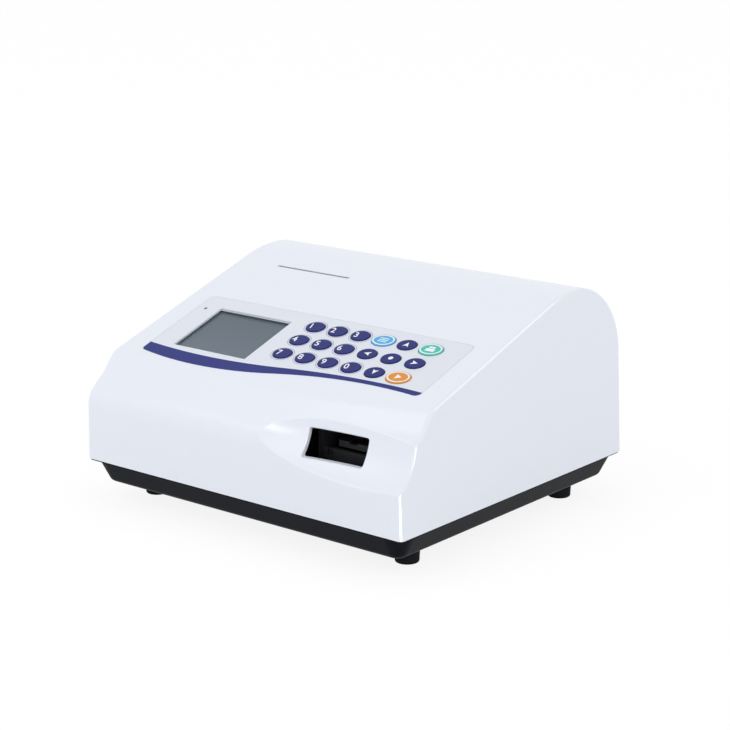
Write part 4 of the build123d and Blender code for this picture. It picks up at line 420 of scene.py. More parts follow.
def display_glass():
    """Reflective liquid-crystal display, unlit: grey-green glass over a fine grid of cells, with
    painted light and shade that make it lighter at the front and darker towards the back.
    """
    colour = picked("glass")
    front, back = -78.0, -30.0  # where its shade starts and ends along y
    material, tree, shader, places = surface("display_glass", ior=1.52, specular_ior_level=0.2)
    y = add(tree, "ShaderNodeSeparateXYZ", {"Vector": places}).outputs["Y"]
    # Painted light and shade: the glass is drawn lighter at the front and darker towards the back
    fall = add(tree, "ShaderNodeMapRange", {"Value": y, "From Min": front, "From Max": back})
    painted_shading = add(tree, "ShaderNodeMix", {0: fall, 6: tinted(colour, 1.12), 7: tinted(colour, 0.86)},
                data_type="RGBA")
    cells = add(tree, "ShaderNodeTexBrick", {
        "Vector": places, "Color1": WHITE, "Color2": (0.985, 0.985, 0.985, 1),
        "Mortar": (0.93, 0.94, 0.95, 1), "Scale": 1.0, "Mortar Size": 0.03, "Brick Width": 0.45,
        "Row Height": 0.43}, offset=0.0)
    tint = add(tree, "ShaderNodeMix", {0: 1.0, 6: painted_shading.outputs[2], 7: cells}, data_type="RGBA",
               blend_type="MULTIPLY")
    tree.links.new(tint.outputs[2], shader.inputs["Base Color"])
    haze = add(tree, "ShaderNodeTexNoise", {"Vector": places, "Scale": 1 / 9.0, "Detail": 1.0})
    worn_gloss(tree, shader, haze, 0.3, 0.38)
    return material


def board_laminate():
    """Glass-epoxy board under green solder mask, with copper tracks showing as lighter lines."""
    material, tree, shader, places = surface("board_laminate", ior=1.5)
    across, along = [
        add(tree, "ShaderNodeTexWave", {"Vector": places, "Scale": 0.16, "Distortion": 0.0},
            bands_direction=direction).outputs["Fac"] for direction in "XY"]
    zones = add(tree, "ShaderNodeTexVoronoi", {"Vector": places, "Scale": 1 / 14.0},
                distance="MANHATTAN")
    side = add(tree, "ShaderNodeMath", {0: zones, 1: 0.5}, operation="GREATER_THAN")
    lines = add(tree, "ShaderNodeMix", {0: side, 2: across, 3: along})
    track = add(tree, "ShaderNodeMath", {0: lines, 1: 0.72}, operation="GREATER_THAN")
    coloured(tree, shader, track, linear("#0f4a32"), linear("#1f6b47"))
    worn_gloss(tree, shader, track, 0.32, 0.26)
    raised(tree, shader, track, 0.03, 0.8)
    return material


def supply_parts():
    """The power supply's board and blocks: green board low down, black and dark blue parts above."""
    board_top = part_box("power_supply")[0].z / MM + 1.7
    material, tree, shader, places = surface("supply_parts", ior=1.5)
    z = add(tree, "ShaderNodeSeparateXYZ", {"Vector": places}).outputs["Z"]
    above = add(tree, "ShaderNodeMath", {0: z, 1: board_top}, operation="GREATER_THAN")
    flow = add(tree, "ShaderNodeTexNoise", {"Vector": places, "Scale": 1 / 14.0, "Detail": 1.0})
    parts = add(tree, "ShaderNodeMix", {0: flow, 6: linear("#1b1d21"), 7: linear("#2c3140")},
                data_type="RGBA")
    coloured(tree, shader, above, linear("#14523a"), parts.outputs[2])
    worn_gloss(tree, shader, flow, 0.35, 0.55)
    grained(tree, shader, places, 0.4, 0.02)
    return material


def ribbon_vinyl():
    """Flat cable: grey vinyl over parallel strands 1.27 mm apart."""
    material, tree, shader, places = surface("ribbon_vinyl", ior=1.53)
    strands = add(tree, "ShaderNodeTexWave", {
        "Vector": places, "Scale": 0.314 / 1.27, "Distortion": 0.0}, bands_direction="X")
    strands = strands.outputs["Fac"]
    coloured(tree, shader, strands, linear("#8e9094"), linear("#b9bbbf"))
    worn_gloss(tree, shader, strands, 0.45, 0.38)
    raised(tree, shader, strands, 0.25)
    return material


def thermal_paper():
    """Wound thermal paper: white, with its layers showing as fine rings on the ends."""
    low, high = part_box("paper_roll")
    middle = (low + high) / 2 / MM
    material, tree, shader, places = surface("thermal_paper", ior=1.45)
    centre = (0, -middle.y, -middle.z)
    centred = add(tree, "ShaderNodeMapping", {"Vector": places, "Location": centre})
    layers = add(tree, "ShaderNodeTexWave", {
        "Vector": centred, "Scale": 0.9, "Distortion": 0.6, "Detail": 2.0,
        "Detail Scale": 0.4}, wave_type="RINGS", rings_direction="X").outputs["Fac"]
    coloured(tree, shader, layers, linear("#f3f3f1"), linear("#dcdddd"))
    worn_gloss(tree, shader, layers, 0.55, 0.7)
    raised(tree, shader, layers, 0.05, 0.7)
    return material


def dress(node_names, material):
    """Gives packed parts their finish."""
    for name in node_names:
        for place in NODES[name].material_slots:
            place.material = material


def linked(name, data):
    """A new object in the scene."""
    made = bpy.data.objects.new(name, data)
    bpy.context.scene.collection.objects.link(made)
    return made


def piece(name, mesh, material, body):
    """A new piece that rides on a body of the packed model."""
    made = linked(name, mesh)
    mesh.materials.clear()
    mesh.materials.append(material)
    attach(made, body)
    return made


def panel_box(node):
    """A node's lowest and highest corners in the sloping panel's coordinates."""
    flat = PANEL.inverted()
    points = [flat @ vertex.co for vertex in NODES[node].data.vertices]
    low = Vector([min(point[i] for point in points) for i in range(3)])
    high = Vector([max(point[i] for point in points) for i in range(3)])
    return low, high


def key_middle(key):
    """The middle of a key's top, in the sloping panel's coordinates."""
    low, high = panel_box(key)
    return Vector(((low.x + high.x) / 2, (low.y + high.y) / 2, high.z))


def closed_mesh(name, shape, place):
    """A mesh of a closed shape, its faces turned outwards, moved to its place."""
    bmesh.ops.recalc_face_normals(shape, faces=shape.faces)
    mesh = bpy.data.meshes.new(name)
    shape.to_mesh(mesh)
    shape.free()
    mesh.transform(place)
    return mesh


def rectangle(x, y, width, height):
    """A rectangle's corners, from its middle and its sides."""
    half_x, half_y = width / 2, height / 2
    return [(x - half_x, y - half_y), (x + half_x, y - half_y), (x + half_x, y + half_y),
            (x - half_x, y + half_y)]


def circle(middle_y, radius):
    """Points round a circle whose middle is on the upright axis."""
    turns = [2 * pi * i / CIRCLE_SIDES for i in range(CIRCLE_SIDES)]
    return [(radius * cos(turn), middle_y + radius * sin(turn)) for turn in turns]


def two_rows(shape, first, second, low, high):
    """Corners along two lines, first at a low height and then at a high one."""
    return [[shape.verts.new((x, y, z)) for x, y in line]
            for z in (low, high) for line in (first, second)]


def raise_outline(shape, outline, low, high):
    """Adds a flat plate with this outline between two heights."""
    floor = [shape.verts.new((x, y, low)) for x, y in outline]
    lid = [shape.verts.new((x, y, high)) for x, y in outline]
    shape.faces.new(floor[::-1])
    shape.faces.new(lid)
    for i, corner in enumerate(floor):
        following = (i + 1) % len(floor)
        shape.faces.new((corner, floor[following], lid[following], lid[i]))


def close_round(shape, rows, i, j):
    """Adds the four sides of a bar between two of its sections."""
    for near, far in ((0, 1), (1, 3), (3, 2), (2, 0)):
        shape.faces.new((rows[near][i], rows[far][i], rows[far][j], rows[near][j]))


def raise_ring(shape, middle_y, inner, outer, low, high):
    """Adds a flat ring between two heights."""
    rows = two_rows(shape, circle(middle_y, inner), circle(middle_y, outer), low, high)
    for i in range(CIRCLE_SIDES):
        close_round(shape, rows, i, (i + 1) % CIRCLE_SIDES)


def raise_strip(shape, lower, upper, low, high):
    """Adds a flat strip between a lower and an upper line, between two heights."""
    rows = two_rows(shape, lower, upper, low, high)
    last = len(lower) - 1
    for i in range(last):
        close_round(shape, rows, i, i + 1)
    for i in (0, last):
        shape.faces.new([rows[row][i] for row in (0, 2, 3, 1)])


def wave(x, valley, hill):
    """Height of a line that runs from a valley's arc into a hill's arc, tangent to it."""
    valley_x, valley_y, valley_radius = valley
    hill_x, hill_y = hill
    run = hill_x - valley_x
    drop = valley_y + valley_radius - hill_y
    hill_radius = (run ** 2 + drop ** 2 - valley_radius ** 2) / (2 * (valley_radius - drop))
    turn = valley_x + run * valley_radius / (valley_radius + hill_radius)
    if x < turn:
        return valley_y + valley_radius - sqrt(valley_radius ** 2 - (x - valley_x) ** 2)
    return hill_y - hill_radius + sqrt(hill_radius ** 2 - (x - hill_x) ** 2)


def stripe_lines(half, margin):
    """The stripe's lower and upper lines: the sheet's own lower edge, and a flatter wave above it."""
    valley_x, valley_y, valley_radius = -63.0 * MM, 167.5 * MM, 265.0 * MM - margin
    hill_x, hill_y, hill_radius = 80.0 * MM, -402.96 * MM, 323.11 * MM + margin
    corner = 4.0 * MM - margin
    left_x = -half + corner
    left_y = valley_y - sqrt((valley_radius - corner) ** 2 - (left_x - valley_x) ** 2)
    left_end = valley_x + (left_x - valley_x) * valley_radius / (valley_radius - corner)
    right_x = half - corner
    right_y = hill_y + sqrt((hill_radius + corner) ** 2 - (right_x - hill_x) ** 2)
    right_start = hill_x + (right_x - hill_x) * hill_radius / (hill_radius + corner)
    turn = valley_x + (hill_x - valley_x) * valley_radius / (valley_radius + hill_radius)

    def lower(x):
        if x < left_end:
            return left_y - sqrt(max(0.0, corner ** 2 - (x - left_x) ** 2))
        if x > right_start:
            return right_y - sqrt(max(0.0, corner ** 2 - (x - right_x) ** 2))
        if x < turn:
            return valley_y - sqrt(valley_radius ** 2 - (x - valley_x) ** 2)
        return hill_y + sqrt(hill_radius ** 2 - (x - hill_x) ** 2)

    round_end = [1 - cos(i / END_STEPS * pi / 2) for i in range(END_STEPS)]
    xs = [-half + corner * share for share in round_end]
    xs += [left_x + (right_x - left_x) * i / STRIPE_STEPS for i in range(STRIPE_STEPS + 1)]
    xs += [half - corner * share for share in reversed(round_end)]
    top_valley = (-62.0 * MM, -86.0 * MM, 460.0 * MM)
    top_hill = (82.0 * MM, -75.6 * MM)
    return [(x, lower(x)) for x in xs], [(x, wave(x, top_valley, top_hill)) for x in xs]


def node_tree(name, *sockets):
    """A new Geometry Nodes tree with these inputs, and the outputs of its input node by name."""
    tree = bpy.data.node_groups.new(name, "GeometryNodeTree")
    tree.interface.new_socket("Geometry", in_out="INPUT", socket_type="NodeSocketGeometry")
    for label in sockets:
        kind = {"Material": "Material", "Turn": "Vector", "Bar Place": "Vector"}.get(label, "Float")
        tree.interface.new_socket(label, in_out="INPUT", socket_type="NodeSocket" + kind)
    tree.interface.new_socket("Geometry", in_out="OUTPUT", socket_type="NodeSocketGeometry")
    return tree, add(tree, "NodeGroupInput").outputs


def close_tree(tree, geometry, material):
    """Ends a tree: its instances made real, with their material."""
    real = add(tree, "GeometryNodeRealizeInstances", {"Geometry": geometry})
    painted = add(tree, "GeometryNodeSetMaterial", {"Geometry": real, "Material": material})
    add(tree, "NodeGroupOutput", {"Geometry": painted})
    return tree


def evaluated(carrier):
    """The plain mesh that an object shows; the object itself is removed."""
    depsgraph = bpy.context.evaluated_depsgraph_get()
    mesh = bpy.data.meshes.new_from_object(carrier.evaluated_get(depsgraph))
    bpy.data.objects.remove(carrier)
    return mesh


def baked(name, points, tree, values):
    """The plain mesh that a tree makes of loose points with these input values."""
    base = bpy.data.meshes.new(name)
    base.from_pydata(points, [], [])
    carrier = linked(name, base)
    modifier = carrier.modifiers.new("nodes", "NODES")
    modifier.node_group = tree
    for item in tree.interface.items_tree:
        if item.item_type == "SOCKET" and item.in_out == "INPUT" and item.name in values:
            modifier[item.identifier] = values[item.name]
    return evaluated(carrier)


def ring_tree():
    """A tree that draws a flat oval line round each point."""
    tree, given = node_tree("key_rings", "Half Length", "Half Breadth", "Line Width", "Thickness",
                            "Material")
    oval = add(tree, "GeometryNodeCurvePrimitiveCircle", {"Resolution": 72, "Radius": 1.0})
    stretch = add(tree, "ShaderNodeCombineXYZ", {
        "X": given["Half Length"], "Y": given["Half Breadth"], "Z": 1.0})
    sized = add(tree, "GeometryNodeTransform", {"Geometry": oval, "Scale": stretch})
    upright = add(tree, "GeometryNodeSetCurveNormal", {"Curve": sized}, mode="Z_UP")
    section = add(tree, "GeometryNodeCurvePrimitiveQuadrilateral", {
        "Width": given["Line Width"], "Height": given["Thickness"]})
    line = add(tree, "GeometryNodeCurveToMesh", {"Curve": upright, "Profile Curve": section})
    copies = add(tree, "GeometryNodeInstanceOnPoints", {
        "Points": given["Geometry"], "Instance": line})
    return close_tree(tree, copies, given["Material"])


def tooth_tree():
    """A tree that stands a small wedge on each point and a bar under them all: a tear edge."""
    tree, given = node_tree("tear_teeth", "Width", "Height", "Depth", "Bar Length", "Bar Height",
                            "Bar Place", "Material")
    wedge = add(tree, "GeometryNodeMeshCone", {
        "Vertices": 4, "Radius Top": 0.0, "Radius Bottom": 0.5 * sqrt(2), "Depth": 1.0})
    turned = add(tree, "GeometryNodeTransform", {"Geometry": wedge, "Rotation": (0.0, 0.0, pi / 4)})
    size = add(tree, "ShaderNodeCombineXYZ", {
        "X": given["Width"], "Y": given["Depth"], "Z": given["Height"]})
    sized = add(tree, "GeometryNodeTransform", {"Geometry": turned, "Scale": size})
    copies = add(tree, "GeometryNodeInstanceOnPoints", {
        "Points": given["Geometry"], "Instance": sized})
    size = add(tree, "ShaderNodeCombineXYZ", {
        "X": given["Bar Length"], "Y": given["Depth"], "Z": given["Bar Height"]})
    bar = add(tree, "GeometryNodeMeshCube", {"Size": size})
    placed = add(tree, "GeometryNodeTransform", {
        "Geometry": bar, "Translation": given["Bar Place"]})
    whole = add(tree, "GeometryNodeJoinGeometry", {"Geometry": copies})
    tree.links.new(placed.outputs["Geometry"], whole.inputs["Geometry"])
    return close_tree(tree, whole, given["Material"])


def screw_tree():
    """A tree that puts a pan-head screw on each point, the underside of its head there."""
    tree, given = node_tree("pan_head_screws", "Head Radius", "Head Height", "Shank Radius",
                            "Shank Length", "Recess Width", "Recess Depth", "Turn", "Material")
    radius, height, width = given["Head Radius"], given["Head Height"], given["Recess Width"]
    half, dome, arm, deep, below = [
        add(tree, "ShaderNodeMath", {0: length, 1: share}, operation="MULTIPLY")
        for length, share in ((height, 0.5), (radius, 1.4), (radius, 1.25),
                              (given["Recess Depth"], 2.0), (given["Shank Length"], -0.5))]
    drop = add(tree, "ShaderNodeMath", {0: height, 1: dome}, operation="SUBTRACT")
    blank = add(tree, "GeometryNodeMeshCylinder", {
        "Vertices": 48, "Radius": radius, "Depth": height})
    ball = add(tree, "GeometryNodeMeshUVSphere", {"Segments": 64, "Rings": 48, "Radius": dome})
    sizes = [add(tree, "ShaderNodeCombineXYZ", {"X": x, "Y": y, "Z": deep})
             for x, y in ((arm, width), (width, arm))]
    along, across = [add(tree, "GeometryNodeMeshCube", {"Size": size}) for size in sizes]
    shank = add(tree, "GeometryNodeMeshCylinder", {
        "Vertices": 32, "Radius": given["Shank Radius"], "Depth": given["Shank Length"]})
    moved = []
    for shape, rise in ((blank, half), (ball, drop), (along, height), (across, height),
                        (shank, below)):
        shift = add(tree, "ShaderNodeCombineXYZ", {"Z": rise})
        moved.append(add(tree, "GeometryNodeTransform", {"Geometry": shape, "Translation": shift}))
    blank, ball, along, across, shank = moved
    head = add(tree, "GeometryNodeMeshBoolean", {"Mesh 2": blank}, operation="INTERSECT")
    tree.links.new(ball.outputs["Geometry"], head.inputs["Mesh 2"])
    recessed = add(tree, "GeometryNodeMeshBoolean", {"Mesh 1": head, "Mesh 2": along},
                   operation="DIFFERENCE")
    tree.links.new(across.outputs["Geometry"], recessed.inputs["Mesh 2"])
    whole = add(tree, "GeometryNodeJoinGeometry", {"Geometry": recessed})
    tree.links.new(shank.outputs["Geometry"], whole.inputs["Geometry"])
    copies = add(tree, "GeometryNodeInstanceOnPoints", {
        "Points": given["Geometry"], "Instance": whole, "Rotation": given["Turn"]})
    return close_tree(tree, copies, given["Material"])


def glyph(text, size, weight):
    """A number as a slanted flat mesh, its strokes thickened, with its middle at the origin."""
    curve = bpy.data.curves.new("glyph", "FONT")
    curve.body = text
    curve.size = size
    curve.offset = weight
    curve.shear = DIGIT_SHEAR
    curve.align_x = "CENTER"
    curve.extrude = 1.0 * MM
    curve.resolution_u = 6
    carrier = linked("glyph", curve)
    bpy.context.view_layer.update()
    mesh = evaluated(carrier)
    xs = [vertex.co.x for vertex in mesh.vertices]
    ys = [vertex.co.y for vertex in mesh.vertices]
    mesh.transform(Matrix.Translation((-(min(xs) + max(xs)) / 2, -(min(ys) + max(ys)) / 2, 0)))
    return mesh


def flattened(mesh, low, high):
    """Brings an extruded flat mesh to lie between two heights."""
    for vertex in mesh.vertices:
        vertex.co.z = low if vertex.co.z < 0 else high
    return mesh


def laid_on(mesh, node, place):
    """Lays a flat mesh on a packed part: each point goes down its own line to the part's surface."""
    part = NODES[node].data
    tree = BVHTree.FromPolygons([v.co for v in part.vertices], [p.vertices for p in part.polygons])
    outward = (place.to_3x3() @ Vector((0, 0, 1))).normalized()
    for vertex in mesh.vertices:
        above = place @ Vector((vertex.co.x, vertex.co.y, CLEAR_ABOVE))
        hit = tree.ray_cast(above, -outward)[0]
        vertex.co = hit + outward * vertex.co.z
    return mesh


class ANALYZER_OT_shell(bpy.types.Operator):
    """Finishes the cover, the paper door, the tray and the feet"""

    bl_idname = "analyzer.shell"
    bl_label = "Shell"

    def execute(self, context):
        dress(("top_cover", "paper_door"), white_shell())
        dress(("bottom_tray",), black_tray())
        dress(("feet",), foot_rubber())
        return {"FINISHED"}


def print_rings(name, key, points, tree, gap, width, ink):
    """Flat rings at points on the panel, each larger than this key by a gap on every side."""
    low, high = panel_box(key)
    mesh = baked(name, points, tree, {
        "Half Length": (high.x - low.x) / 2 + gap,
        "Half Breadth": (high.y - low.y) / 2 + gap,
        "Line Width": width,
        "Thickness": 2 * bpy.context.scene.analyzer_sizes.ink,
        "Material": ink,
    })
    mesh.transform(PANEL)
    return mesh


class ANALYZER_OT_sheet(bpy.types.Operator):
    """Prints the stripe and the key rings on the panel's sheet"""

    bl_idname = "analyzer.sheet"
    bl_label = "Sheet and prints"

    def execute(self, context):
        sizes = context.scene.analyzer_sizes
        dress(("keypad_overlay",), polyester_sheet())
        corner = panel_box("keypad_overlay")[1]
        shape = bmesh.new()
        lower, upper = stripe_lines(corner.x - sizes.print_margin, 0.2 * MM + sizes.print_margin)
        raise_strip(shape, lower, upper, corner.z - sizes.ink, corner.z + sizes.ink)
        stripe = closed_mesh("stripe_print", shape, PANEL)
        piece("stripe_print", stripe, stripe_ink(), "case")

        line = ring_ink()
        middles = [key_middle(key) for key in DIGIT_KEYS]
        points = [(middle.x, middle.y, corner.z) for middle in middles]
        mesh = print_rings(
            "digit_rings", "key_1", points, ring_tree(), sizes.ring_gap, sizes.ring_line, line)
        piece("digit_rings", mesh, line, "case")
        return {"FINISHED"}


class ANALYZER_OT_keys(bpy.types.Operator):
    """Finishes the keys and prints their digits, arrows and signs"""

    bl_idname = "analyzer.keys"
    bl_label = "Keys"

    def execute(self, context):
        colours = context.scene.analyzer_colours
        sizes = context.scene.analyzer_sizes
        navy = key_plastic("key_navy_plastic", colours.navy)
        dress((*DIGIT_KEYS, *ARROW_KEYS, "key_ok"), navy)
        for key, tone in zip(WIDE_KEYS, ("light_blue", "green", "orange")):
            dress((key,), key_plastic(f"key_{tone}_plastic", getattr(colours, tone)))
        ink = legend_ink()

        for key, digit in DIGIT_KEYS.items():
            place = key_middle(key) - Vector((sizes.digit_shift, 0, 0))
            number = glyph(digit, sizes.digit_height, sizes.digit_weight)
            mesh = flattened(number, -sizes.ink, sizes.ink)
            mesh.transform(PANEL @ Matrix.Translation(place))
            piece(f"{key}_legend", mesh, ink, f"{key}_cap")

        long = sizes.arrow_length
        arrow = [(long / 2, 0), (-long / 2, 0.44 * long), (-0.28 * long, 0),
                 (-long / 2, -0.44 * long)]
        bars = [rectangle(0, step * 1.9 * MM, 7.0 * MM, 0.8 * MM) for step in (-1, 0, 1)]
        page = [rectangle(0, 1.9 * MM, 4.6 * MM, 1.8 * MM),
                rectangle(0, -1.1 * MM, 6.8 * MM, 3.0 * MM)]
        play = [[(2.6 * MM, 0), (-1.8 * MM, 2.4 * MM), (-1.8 * MM, -2.4 * MM)]]
        dot = [circle(0, 1.7 * MM)]
        signs = [(key, [arrow], turn) for key, turn in ARROW_KEYS.items()]
        signs += [("key_ok", dot, 0), ("key_menu", bars, 0), ("key_print", page, 0),
                  ("key_start", play, 0)]
        for key, outlines, turn in signs:
            name = f"{key}_sign"
            shape = bmesh.new()
            for outline in outlines:
                raise_outline(shape, outline, -sizes.ink, sizes.ink)
            turned = Matrix.Rotation(radians(turn), 4, "Z")
            place = PANEL @ Matrix.Translation(key_middle(key)) @ turned
            piece(name, closed_mesh(name, shape, place), ink, f"{key}_cap")

        tree = ring_tree()
        for key in WIDE_KEYS:
            name = f"{key}_band"
            mesh = print_rings(
                name, key, [key_middle(key)], tree, -sizes.band_inset, sizes.band_line, ink)
            piece(name, mesh, ink, f"{key}_cap")
        return {"FINISHED"}


class ANALYZER_OT_display(bpy.types.Operator):
    """Finishes the display, its window and the lamp, and prints a pale band of painted light along
    the window's top and left sides
    """

    bl_idname = "analyzer.display"
    bl_label = "Display"

    def execute(self, context):
        sizes = context.scene.analyzer_sizes
        dress(("lcd_module",), display_glass())
        dress(("lcd_window",), window_acrylic())
        dress(("status_led",), lamp_lens())

        # Painted light: pale strips along the pane's top and left edges, where the window's lit inner
        # wall would show
        ink = border_ink()
        low, high = panel_box("lcd_window")
        top, left = sizes.border_top, sizes.border_left
        shape = bmesh.new()
        upper = rectangle((low.x + high.x) / 2, high.y - top / 2, high.x - low.x, top)
        side = rectangle(low.x + left / 2, (low.y + high.y - top) / 2, left, high.y - low.y - top)
        for strip in (upper, side):
            raise_outline(shape, strip, high.z - sizes.ink, high.z + sizes.ink)
        mesh = closed_mesh("window_border", shape, PANEL)
        piece("window_border", mesh, ink, "case")
        return {"FINISHED"}


class ANALYZER_OT_transport(bpy.types.Operator):
    """Finishes the strip tray and all that carries it"""

    bl_idname = "analyzer.transport"
    bl_label = "Strip transport"

    def execute(self, context):
        guide = moulded("guide_acetal", linear("#191a1f"), 0.15, 12.0, (0.42, 0.55), 0.3, 0.015,
                        ior=1.48)
        steel = brushed("ground_steel", linear("#b9bcc0"), (0.15, 0.25), 0.15, 0.002)
        brass = brushed("cut_brass", linear("#c9a254"), (0.25, 0.35), 0.2, 0.004)
        dress(("transport_frame", "tray_carriage", "strip_tray", "optical_head"), guide)
        dress(("guide_rods",), steel)
        dress(("tray_pinion",), brass)
        dress(("tray_motor", "printer_motor"), cast_block("drawn_motor_can", "#a8abae", (0.3, 0.42)))
        return {"FINISHED"}


class ANALYZER_OT_printer(bpy.types.Operator):
    """Finishes the printer, its paper and its gears, and sets the tear edge in the slot"""

    bl_idname = "analyzer.printer"
    bl_label = "Printer"

    def execute(self, context):
        sizes = context.scene.analyzer_sizes
        body = moulded("printer_plastic", linear("#222429"), 0.12, 15.0, (0.4, 0.52), 0.3, 0.015,
                       ior=1.53)
        dress(("printer_frame", "paper_spindle"), body)
        dress(("platen_roller",), platen_rubber())
        dress(("platen_gear", "idler_gear", "printer_motor_gear"), gear_acetal())
        dress(("print_head",), cast_block("extruded_heat_sink", "#9fa3a8", (0.32, 0.45)))
        dress(("paper_roll",), thermal_paper())

        steel = brushed("tear_edge_steel", linear("#b4b6b8"), (0.25, 0.35), 0.2, 0.002)
        middle_x, back_y = SLOT_MIDDLE[0], SLOT_MIDDLE[1] + SLOT_BREADTH / 2
        line_y = back_y - sizes.blade_thick / 3
        count = int(sizes.blade_length / sizes.tooth_pitch)
        first = middle_x - (count - 1) * sizes.tooth_pitch / 2
        points = [(first + i * sizes.tooth_pitch, line_y, -sizes.blade_depth)
                  for i in range(count)]
        bar_z = -sizes.blade_depth - sizes.blade_height / 2 + sizes.ink
        mesh = baked("tear_edge", points, tooth_tree(), {
            "Width": sizes.tooth_pitch,
            "Height": sizes.tooth_height,
            "Depth": sizes.blade_thick,
            "Bar Length": count * sizes.tooth_pitch,
            "Bar Height": sizes.blade_height,
            "Bar Place": (middle_x, line_y, bar_z),
            "Material": steel,
        })
        mesh.transform(PANEL)
        piece("tear_edge", mesh, steel, "case")
        return {"FINISHED"}


class ANALYZER_OT_rear(bpy.types.Operator):
    """Finishes the rear panel and its sockets, and prints the marks on the rocker"""

    bl_idname = "analyzer.rear"
    bl_label = "Rear panel"

    def execute(self, context):
        sizes = context.scene.analyzer_sizes
        plate = brushed("brushed_aluminium", linear("#c3c6ca"), (0.3, 0.42), 0.3, 0.006)
        dress(("rear_panel",), plate)
        housing = moulded("socket_plastic", linear("#1c1d20"), 0.1, 10.0, (0.35, 0.45), 0.3, 0.01,
                          ior=1.55)
        dress(("mains_inlet", "power_switch_housing", "power_rocker"), housing)
        nickel = brushed("nickel_shell", linear("#c2c0ba"), (0.2, 0.32), 0.25, 0.004)
        dress(("serial_connector", "usb_port"), nickel)

        ink = legend_ink()
        low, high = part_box("power_rocker")
        middle = (low + high) / 2
        shape = bmesh.new()
        bar = rectangle(0, sizes.mark_place, ROCKER_BAR, sizes.mark_height)
        raise_outline(shape, bar, -sizes.ink, sizes.ink)
        outer = sizes.mark_height / 2
        raise_ring(shape, -sizes.mark_place, outer - ROCKER_RING, outer, -sizes.ink, sizes.ink)
        facing = Matrix.Translation((middle.x, high.y, middle.z)) @ Matrix.Rotation(-pi / 2, 4, "X")
        marks = laid_on(closed_mesh("rocker_marks", shape, Matrix()), "power_rocker", facing)
        piece("rocker_marks", marks, ink, "rocker")
        return {"FINISHED"}


class ANALYZER_OT_electronics(bpy.types.Operator):
    """Finishes the boards, their components and the flat cables"""

    bl_idname = "analyzer.electronics"
    bl_label = "Electronics"

    def execute(self, context):
        dress(("main_board", "keypad_board", "sensor_board"), board_laminate())
        dress(("board_chips", "key_switches"), component_epoxy())
        dress(("power_supply",), supply_parts())
        dress(("flat_cables",), ribbon_vinyl())
        return {"FINISHED"}


class ANALYZER_OT_fasteners(bpy.types.Operator):
    """Makes the outer screws and finishes the inner ones"""

    bl_idname = "analyzer.fasteners"
    bl_label = "Fasteners"

    def execute(self, context):
        sizes = context.scene.analyzer_sizes
        steel = brushed("plated_steel", linear("#b4b6b8"), (0.22, 0.36), 0.35, 0.004,
                        along=(1.0, 1.0, 1.0))
        dress(("board_screws", "door_hinge_pins"), steel)
        tree = screw_tree()
        for node, xs, ys, zs, length, turn in SCREWS:
            points = [(x * MM, y * MM, z * MM) for x in xs for y in ys for z in zs]
            mesh = baked(node, points, tree, {
                "Head Radius": sizes.screw_head,
                "Head Height": sizes.screw_head_height,
                "Shank Radius": sizes.screw_shank,
                "Shank Length": length * MM,
                "Recess Width": sizes.recess_width,
                "Recess Depth": sizes.recess_depth,
                "Turn": turn,
                "Material": steel,
            })
            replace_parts(piece(f"pan_head_{node}", mesh, steel, "case"), node)
        return {"FINISHED"}


class ANALYZER_OT_studio(bpy.types.Operator):
    """Sets up the floor, the lamps, the world and the camera"""

    bl_idname = "analyzer.studio"
    bl_label = "Studio"

    def execute(self, context):
        scene = context.scene
        studio = scene.analyzer_studio
        scene.view_settings.view_transform = "Standard"
        mesh = bpy.data.meshes.new("floor")
        corners = rectangle(0, 0, studio.floor_size, studio.floor_size)
        mesh.from_pydata([(x, y, 0) for x, y in corners], [], [(0, 1, 2, 3)])
        mesh.materials.append(floor_paper(studio.floor_shadow))
        floor = linked("floor", mesh)

        self.set_world(scene, studio.ambient)
        for name, place, size, power, turn in LAMPS:
            lamp = self.add_lamp(name, Vector(place), size, getattr(studio, power), turn)
            if name in GLINTS:
                lamp.visible_diffuse = False
                lamp.visible_camera = False

        data = bpy.data.cameras.new("camera")
        data.lens = studio.lens
        data.sensor_width = SENSOR_WIDTH
        data.shift_x, data.shift_y = CAMERA_SHIFT
        data.clip_end = CLIP_END
        camera = linked("camera", data)
        turn, fall, roll = studio.azimuth, studio.elevation, studio.roll
        forward = Vector((-sin(turn) * cos(fall), cos(turn) * cos(fall), -sin(fall)))
        right = Vector((cos(turn), sin(turn), 0.0))
        up = right.cross(forward)
        rolled_right = right * cos(roll) + up * sin(roll)
        rolled_up = up * cos(roll) - right * sin(roll)
        axes = Matrix((rolled_right, rolled_up, -forward)).transposed().to_4x4()
        camera.matrix_world = Matrix.Translation(studio.camera_place) @ axes
        scene.camera = camera
        return {"FINISHED"}

    def set_world(self, scene, ambient):
        """Even white light, seen as plain white behind the object and in what mirrors or shows it."""
        world = bpy.data.worlds.new("studio")
        scene.world = world
        tree = emptied(world)
        light = add(tree, "ShaderNodeBackground", {"Color": WHITE, "Strength": ambient})
        white = add(tree, "ShaderNodeBackground", {"Color": WHITE, "Strength": 1.0})
        both = add(tree, "ShaderNodeMixShader", {0: seen_rays(tree), 1: light, 2: white})
        add(tree, "ShaderNodeOutputWorld", {"Surface": both})

    def add_lamp(self, name, place, size, power, turn):
        """A soft rectangular lamp, turned as given or else aimed at the middle of the analyzer."""
        data = bpy.data.lights.new(name, "AREA")
        data.shape = "RECTANGLE"
        data.size, data.size_y = size
        data.energy = power
        lamp = linked(name, data)
        if turn is None:
            turn = (AIM - place).to_track_quat("-Z", "Y").to_matrix().to_4x4()
        lamp.matrix_world = Matrix.Translation(place) @ turn
        return lamp


def seen_rays(tree):
    """One for what the camera sees, also in a mirror or through glass, and zero for other light."""
    rays = add(tree, "ShaderNodeLightPath").outputs
    seen = rays["Is Camera Ray"]
    for kind in ("Is Glossy Ray", "Is Transmission Ray"):
        seen = add(tree, "ShaderNodeMath", {0: seen, 1: rays[kind]}, operation="MAXIMUM")
    return seen


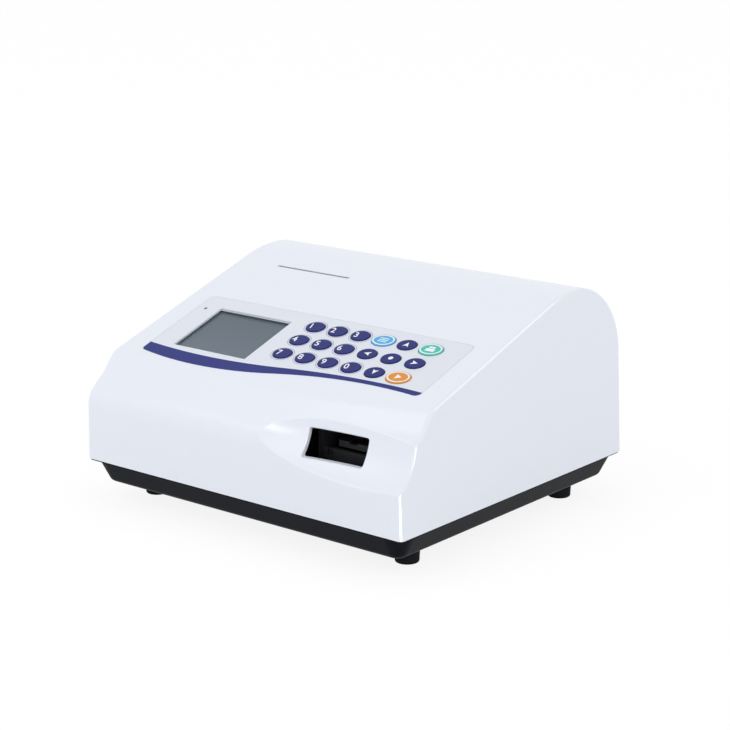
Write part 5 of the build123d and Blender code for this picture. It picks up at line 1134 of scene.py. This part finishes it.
def floor_paper(shadow):
    """White background paper: seen as white, with a share of its real shading as a shadow."""
    material = bpy.data.materials.new("floor_paper")
    tree = emptied(material)
    share = add(tree, "ShaderNodeMath", {0: seen_rays(tree), 1: 1 - shadow}, operation="MULTIPLY")
    matt = add(tree, "ShaderNodeBsdfDiffuse", {"Color": linear("#fafafa")})
    white = add(tree, "ShaderNodeEmission", {"Color": WHITE, "Strength": FLOOR_GLOW})
    both = add(tree, "ShaderNodeMixShader", {0: share, 1: matt, 2: white})
    add(tree, "ShaderNodeOutputMaterial", {"Surface": both})
    return material


PROPERTY_GROUPS = (
    ("analyzer_colours", AnalyzerColours),
    ("analyzer_sizes", AnalyzerSizes),
    ("analyzer_studio", StudioSettings),
)
OPERATORS = (
    ANALYZER_OT_shell,
    ANALYZER_OT_sheet,
    ANALYZER_OT_keys,
    ANALYZER_OT_display,
    ANALYZER_OT_transport,
    ANALYZER_OT_printer,
    ANALYZER_OT_rear,
    ANALYZER_OT_electronics,
    ANALYZER_OT_fasteners,
    ANALYZER_OT_studio,
)


class ANALYZER_PT_sidebar(bpy.types.Panel):
    """The analyzer's pieces, sizes and colours"""

    bl_label = "Urine analyzer"
    bl_idname = "ANALYZER_PT_sidebar"
    bl_space_type = "VIEW_3D"
    bl_region_type = "UI"
    bl_category = "Analyzer"

    def draw(self, context):
        layout = self.layout
        for operator in OPERATORS:
            layout.operator(operator.bl_idname)
        for attribute, group in PROPERTY_GROUPS:
            box = layout.box()
            box.label(text=group.__doc__)
            for name in group.__annotations__:
                box.prop(getattr(context.scene, attribute), name)


def register():
    for attribute, group in PROPERTY_GROUPS:
        bpy.utils.register_class(group)
        setattr(bpy.types.Scene, attribute, PointerProperty(type=group))
    for operator in OPERATORS:
        bpy.utils.register_class(operator)
    bpy.utils.register_class(ANALYZER_PT_sidebar)


def unregister():
    bpy.utils.unregister_class(ANALYZER_PT_sidebar)
    for operator in reversed(OPERATORS):
        bpy.utils.unregister_class(operator)
    for attribute, group in reversed(PROPERTY_GROUPS):
        delattr(bpy.types.Scene, attribute)
        bpy.utils.unregister_class(group)


def main():
    """Makes every piece in order."""
    register()
    bpy.ops.analyzer.shell()
    bpy.ops.analyzer.sheet()
    bpy.ops.analyzer.keys()
    bpy.ops.analyzer.display()
    bpy.ops.analyzer.transport()
    bpy.ops.analyzer.printer()
    bpy.ops.analyzer.rear()
    bpy.ops.analyzer.electronics()
    bpy.ops.analyzer.fasteners()
    bpy.ops.analyzer.studio()


if __name__ == "__main__":
    main()
